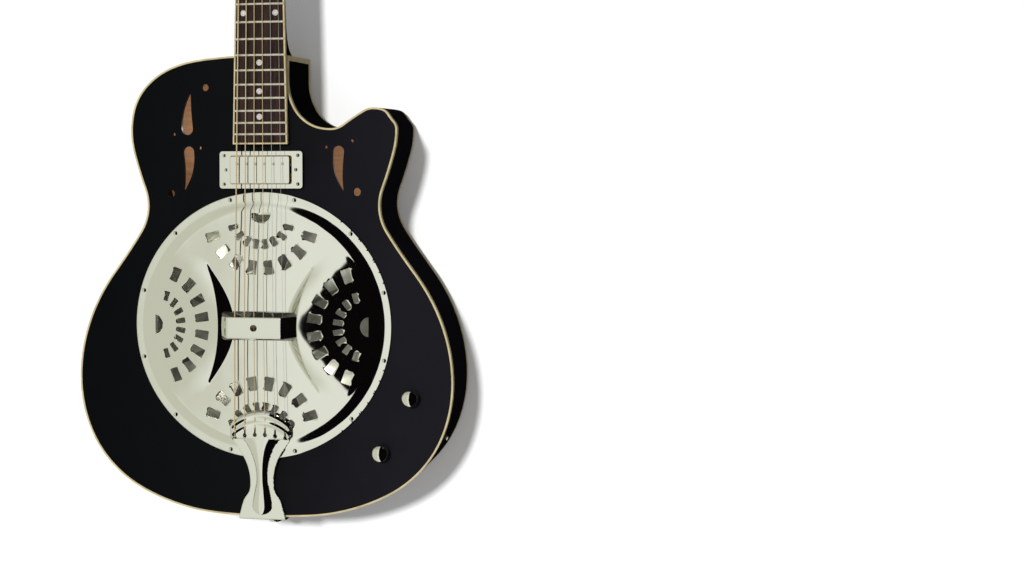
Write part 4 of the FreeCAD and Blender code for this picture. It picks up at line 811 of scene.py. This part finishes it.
def make_knob(node, body, joint):
    """A turned chrome dome with a small foot."""
    centre = Vector(JOINTS[joint]["pos_m"]) / MM
    low, high = corners(node)
    radius, height = (high.x - low.x) / 2, FRONT - low.y
    dome = [(radius * math.sin(math.radians(a)), height - 6.2 + 6.2 * math.cos(math.radians(a)))
            for a in range(0, 91, 6)]
    profile = [(0.01, dome[0][1])] + dome[1:] + [(radius, 1.6), (radius - 0.3, 0.9), (radius - 1, 0.7),
                                                 (radius - 1.2, 3.5), (3.05, 3.8)]
    vertices, faces = lathe(profile, centre, Vector((0, -1, 0)), 72)
    knob = piece(node + "_dome", vertices, faces, CHROME, body, 40)
    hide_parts(node)


# Tuners

BUTTON_REACH = 8.2
BUTTON_HALF_HEIGHT = 9.0
BUTTON_HALF_THICKNESS = 2.9


def button_outline(side):
    """A half-moon button seen from the front, as (out from the headstock, along it) offsets."""
    loop = []
    for k in range(48):
        angle = 2 * math.pi * k / 48
        x, y = math.cos(angle), math.sin(angle)
        swell = 1.0 if x > 0 else 0.62
        height = BUTTON_HALF_HEIGHT * (1 - 0.05 * (1 - swell))
        loop.append((side * (x * BUTTON_REACH * swell + 0.4), y * height))
    return loop


def make_key(i):
    """A tuner key: button, stepped collar and shaft."""
    pin = KEYS[i - 1]
    low, high = corners(f"tuner_key_{i}")
    side = 1 if pin.x > 0 else -1
    tip = high.x if side > 0 else low.x
    centre = Vector((tip - side * 8.4, pin.y, pin.z))
    loop = button_outline(side)
    rings, thick = 9, BUTTON_HALF_THICKNESS
    vertices, faces = [], []
    for k in range(rings):
        turn = math.pi * (k + 0.5) / rings - math.pi / 2
        scale, rise = math.cos(turn) ** 0.38, math.sin(turn)
        rise = math.copysign(abs(rise) ** 0.75, rise) * thick
        vertices += [centre + Vector((x * scale, 0, 0)) + HEAD_UP * (y * scale) + HEAD_FRONT * rise
                     for x, y in loop]
    count = len(loop)
    for k in range(rings - 1):
        for n in range(count):
            a, b = k * count + n, k * count + (n + 1) % count
            faces.append((a, b, b + count, a + count))
    for row, rise in ((0, -1), (rings - 1, 1)):
        middle = len(vertices)
        vertices.append(centre + HEAD_FRONT * rise * thick * 1.04)
        faces += [(row * count + n, row * count + (n + 1) % count, middle) for n in range(count)]
    out = Vector((side, 0, 0))
    length = abs(centre.x - pin.x) - 4.6
    shaft = [(0.01, -6), (1.9, -6), (1.9, length - 9.5), (2.6, length - 8.8), (2.6, length - 6.6),
             (2.0, length - 6), (2.0, length - 3), (3.1, length - 2.4), (3.1, length - 0.6),
             (2.2, length), (0.01, length + 0.4)]
    body = lathe(shaft, Vector((pin.x, pin.y, pin.z)), out, 28)
    vertices, faces = joined((vertices, faces), body)
    key = piece(f"tuner_key_{i}_button", vertices, faces, TUNER_CHROME, f"tuner_key_{i}", 50)
    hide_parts(f"tuner_key_{i}")


STRING_RADII = (0.69, 0.53, 0.41, 0.30, 0.20, 0.15)
STRING_TURNS = (2.6, 3.0, 3.4, 3.6, 4.2, 4.6)
STEPS_PER_TURN = 16
POST_WAIST = 2.3
FIRST_TURN_HEIGHT = 6.0


def make_winding(i):
    """The string's turns round its post, stacked down from where the string arrives."""
    radius = STRING_RADII[i - 1]
    base = POSTS[i - 1]
    side = 1 if base.x > 0 else -1
    curve = bpy.data.curves.new(f"string_{i}_turns", "CURVE")
    curve.dimensions = "3D"
    curve.bevel_depth = radius * MM
    curve.bevel_resolution = 3
    steps = int(STRING_TURNS[i - 1] * STEPS_PER_TURN)
    spline = curve.splines.new("POLY")
    spline.points.add(steps)
    inward = Vector((-side, 0, 0))
    for k in range(steps + 1):
        angle = 2 * math.pi * k / STEPS_PER_TURN
        reach = POST_WAIST + radius
        height = FIRST_TURN_HEIGHT - 2.15 * radius * k / STEPS_PER_TURN
        point = base + inward * (reach * math.cos(angle)) + HEAD_UP * (reach * math.sin(angle)) \
            + HEAD_FRONT * height
        spline.points[k].co = (*(point * MM), 1)
    item = bpy.data.objects.new(curve.name, curve)
    bpy.context.scene.collection.objects.link(item)
    curve.materials.append(BRONZE if i <= 4 else STEEL_WIRE)
    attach(item, f"tuner_post_{i}")


# Stage

def make_stage():
    """A white backdrop close behind the guitar that takes its shadow and shows only from the front."""
    material, tree, surface = shader("white_paper", Roughness=1.0)
    surface.inputs["Specular IOR Level"].default_value = 0.0
    surface.inputs["Base Color"].default_value = (0.9, 0.9, 0.9, 1)
    surface.inputs["Emission Color"].default_value = (1, 1, 1, 1)
    surface.inputs["Emission Strength"].default_value = 0.02
    see_through = add(tree, "ShaderNodeBsdfTransparent")
    behind = add(tree, "ShaderNodeNewGeometry").outputs["Backfacing"]
    mixed = add(tree, "ShaderNodeMixShader", None, n0=behind, n1=surface.outputs[0],
                n2=see_through.outputs[0])
    output = next(n for n in tree.nodes if n.type == "OUTPUT_MATERIAL")
    tree.links.new(mixed.outputs[0], output.inputs[0])
    level = BACK + 9
    wall = [(-9000, level, -6000), (9000, level, -6000), (9000, level, 7000), (-9000, level, 7000)]
    mesh = bpy.data.meshes.new("backdrop")
    mesh.from_pydata([Vector(v) * MM for v in wall], [], [(0, 1, 2, 3)])
    mesh.materials.append(material)
    item = bpy.data.objects.new("backdrop", mesh)
    bpy.context.scene.collection.objects.link(item)
    item.visible_diffuse = item.visible_glossy = item.visible_shadow = item.visible_transmission = False


def eased(tree, value, low, high, from_value=0.0, to_value=1.0):
    """A soft step of a value between two limits."""
    item = add(tree, "ShaderNodeMapRange", {"interpolation_type": "SMOOTHSTEP"}, Value=value)
    for name, number in (("From Min", low), ("From Max", high), ("To Min", from_value), ("To Max", to_value)):
        item.inputs[name].default_value = number
    return item.outputs["Result"]


def make_world():
    """What the chrome mirrors: a bright bass side and a dark treble side. Plain white everywhere else."""
    world = bpy.data.worlds.new("studio")
    bpy.context.scene.world = world
    world.use_nodes = True
    world.cycles.sampling_method = "NONE"
    tree = world.node_tree
    tree.nodes.clear()
    direction = add(tree, "ShaderNodeTexCoord").outputs["Generated"]
    turn = math.radians(-9.3)
    across = add(tree, "ShaderNodeVectorMath", {"operation": "DOT_PRODUCT"}, n0=direction,
                 n1=(math.cos(turn), math.sin(turn), 0)).outputs["Value"]
    split = add(tree, "ShaderNodeSeparateXYZ", None, Vector=direction)
    tone = ramp(tree, eased(tree, across, -0.36, -0.06), (0.0, "#dcdcd2"), (1.0, "#fdfdfa"))
    turn = math.radians(40)
    beyond = add(tree, "ShaderNodeVectorMath", {"operation": "DOT_PRODUCT"}, n0=direction,
                 n1=(math.cos(turn), math.sin(turn), 0)).outputs["Value"]
    dark = add(tree, "ShaderNodeMath", {"operation": "MAXIMUM"}, n0=eased(tree, across, -0.012, 0.012),
               n1=eased(tree, beyond, 0.0, 0.1)).outputs[0]
    room = add(tree, "ShaderNodeMix", {"data_type": "RGBA"}, Factor=dark)
    tree.links.new(tone, room.inputs[6])
    room.inputs[7].default_value = linear("#0b0809")
    dim = eased(tree, split.outputs["Z"], 0.45, 0.8, 1.0, 0.72)
    path = add(tree, "ShaderNodeLightPath")
    mirrored = add(tree, "ShaderNodeBackground", None, Color=room.outputs[2], Strength=dim)
    soft = add(tree, "ShaderNodeBackground", None, Color=(1, 1, 1, 1), Strength=0.45)
    plain = add(tree, "ShaderNodeBackground", None, Color=(1, 1, 1, 1), Strength=1.0)
    first = add(tree, "ShaderNodeMixShader", None, n0=path.outputs["Is Glossy Ray"], n1=soft.outputs[0],
                n2=mirrored.outputs[0])
    second = add(tree, "ShaderNodeMixShader", None, n0=path.outputs["Is Camera Ray"], n1=first.outputs[0],
                 n2=plain.outputs[0])
    output = add(tree, "ShaderNodeOutputWorld")
    tree.links.new(second.outputs[0], output.inputs[0])


CONE_FILL_OUT = 75
CONE_FILL_DEPTH = 8
BOUT_FILL_DEPTH = 14


def make_lights():
    """A soft sun from the upper left, and small fills for what shows through the openings."""
    sun = bpy.data.lights.new("sun", "SUN")
    sun.angle = math.radians(6)
    sun.energy = 2.8
    item = bpy.data.objects.new("sun", sun)
    turn, rise = math.radians(-8), math.radians(16.5)
    towards = Vector((math.sin(turn) * math.cos(rise), -math.cos(turn) * math.cos(rise), math.sin(rise)))
    item.rotation_euler = towards.to_track_quat("Z", "Y").to_euler()
    item.visible_glossy = False
    bpy.context.scene.collection.objects.link(item)
    for k in range(4):
        angle = math.radians(45 + 90 * k)
        spot = (CONE_FILL_OUT * math.cos(angle), FRONT + CONE_FILL_DEPTH,
                PLATE_LEVEL + CONE_FILL_OUT * math.sin(angle))
        bulb(f"cone_fill_{k + 1}", spot, 0.045)
    bulb("bass_fill", (-80, FRONT + BOUT_FILL_DEPTH, 412), 0.1)
    bulb("treble_fill", (95, FRONT + BOUT_FILL_DEPTH, 372), 0.06)


def bulb(name, spot, power):
    """A small hidden lamp inside the body, for the light that bounces in through the openings."""
    light = bpy.data.lights.new(name, "POINT")
    light.shadow_soft_size = 6 * MM
    light.energy = power
    item = bpy.data.objects.new(name, light)
    item.location = Vector(spot) * MM
    item.visible_camera = False
    bpy.context.scene.collection.objects.link(item)


def make_camera():
    """Level with the coverplate's upper half, a little to the treble side, as for a catalogue picture."""
    camera = bpy.data.cameras.new("camera")
    camera.sensor_width = 36
    camera.lens = 51.47
    camera.shift_x = 0.0144
    camera.shift_y = -0.1500
    camera.clip_end = 100
    item = bpy.data.objects.new("camera", camera)
    item.location = Vector((507.7, -1548.6, 392.4)) * MM
    yaw, pitch, roll = 0.1657, 0.0131, -0.0054
    forward = Vector((-math.sin(yaw) * math.cos(pitch), math.cos(yaw) * math.cos(pitch), math.sin(pitch)))
    right = Vector((math.cos(yaw), math.sin(yaw), 0))
    up = right.cross(forward)
    side = right * math.cos(roll) + up * math.sin(roll)
    top = up * math.cos(roll) - right * math.sin(roll)
    matrix = Matrix((side, top, -forward)).transposed()
    item.rotation_euler = matrix.to_euler()
    bpy.context.scene.collection.objects.link(item)
    bpy.context.scene.camera = item


def main():
    bpy.context.scene.view_settings.view_transform = "Standard"
    dress_frame()
    make_coverplate()
    make_palm_rest()
    make_tailpiece()
    make_knob("volume_knob", "volume_control", "volume_turn")
    make_knob("tone_knob", "tone_control", "tone_turn")
    for i in range(1, 7):
        make_key(i)
        make_winding(i)
    paint_inside()
    make_stage()
    make_world()
    make_lights()
    make_camera()


main()
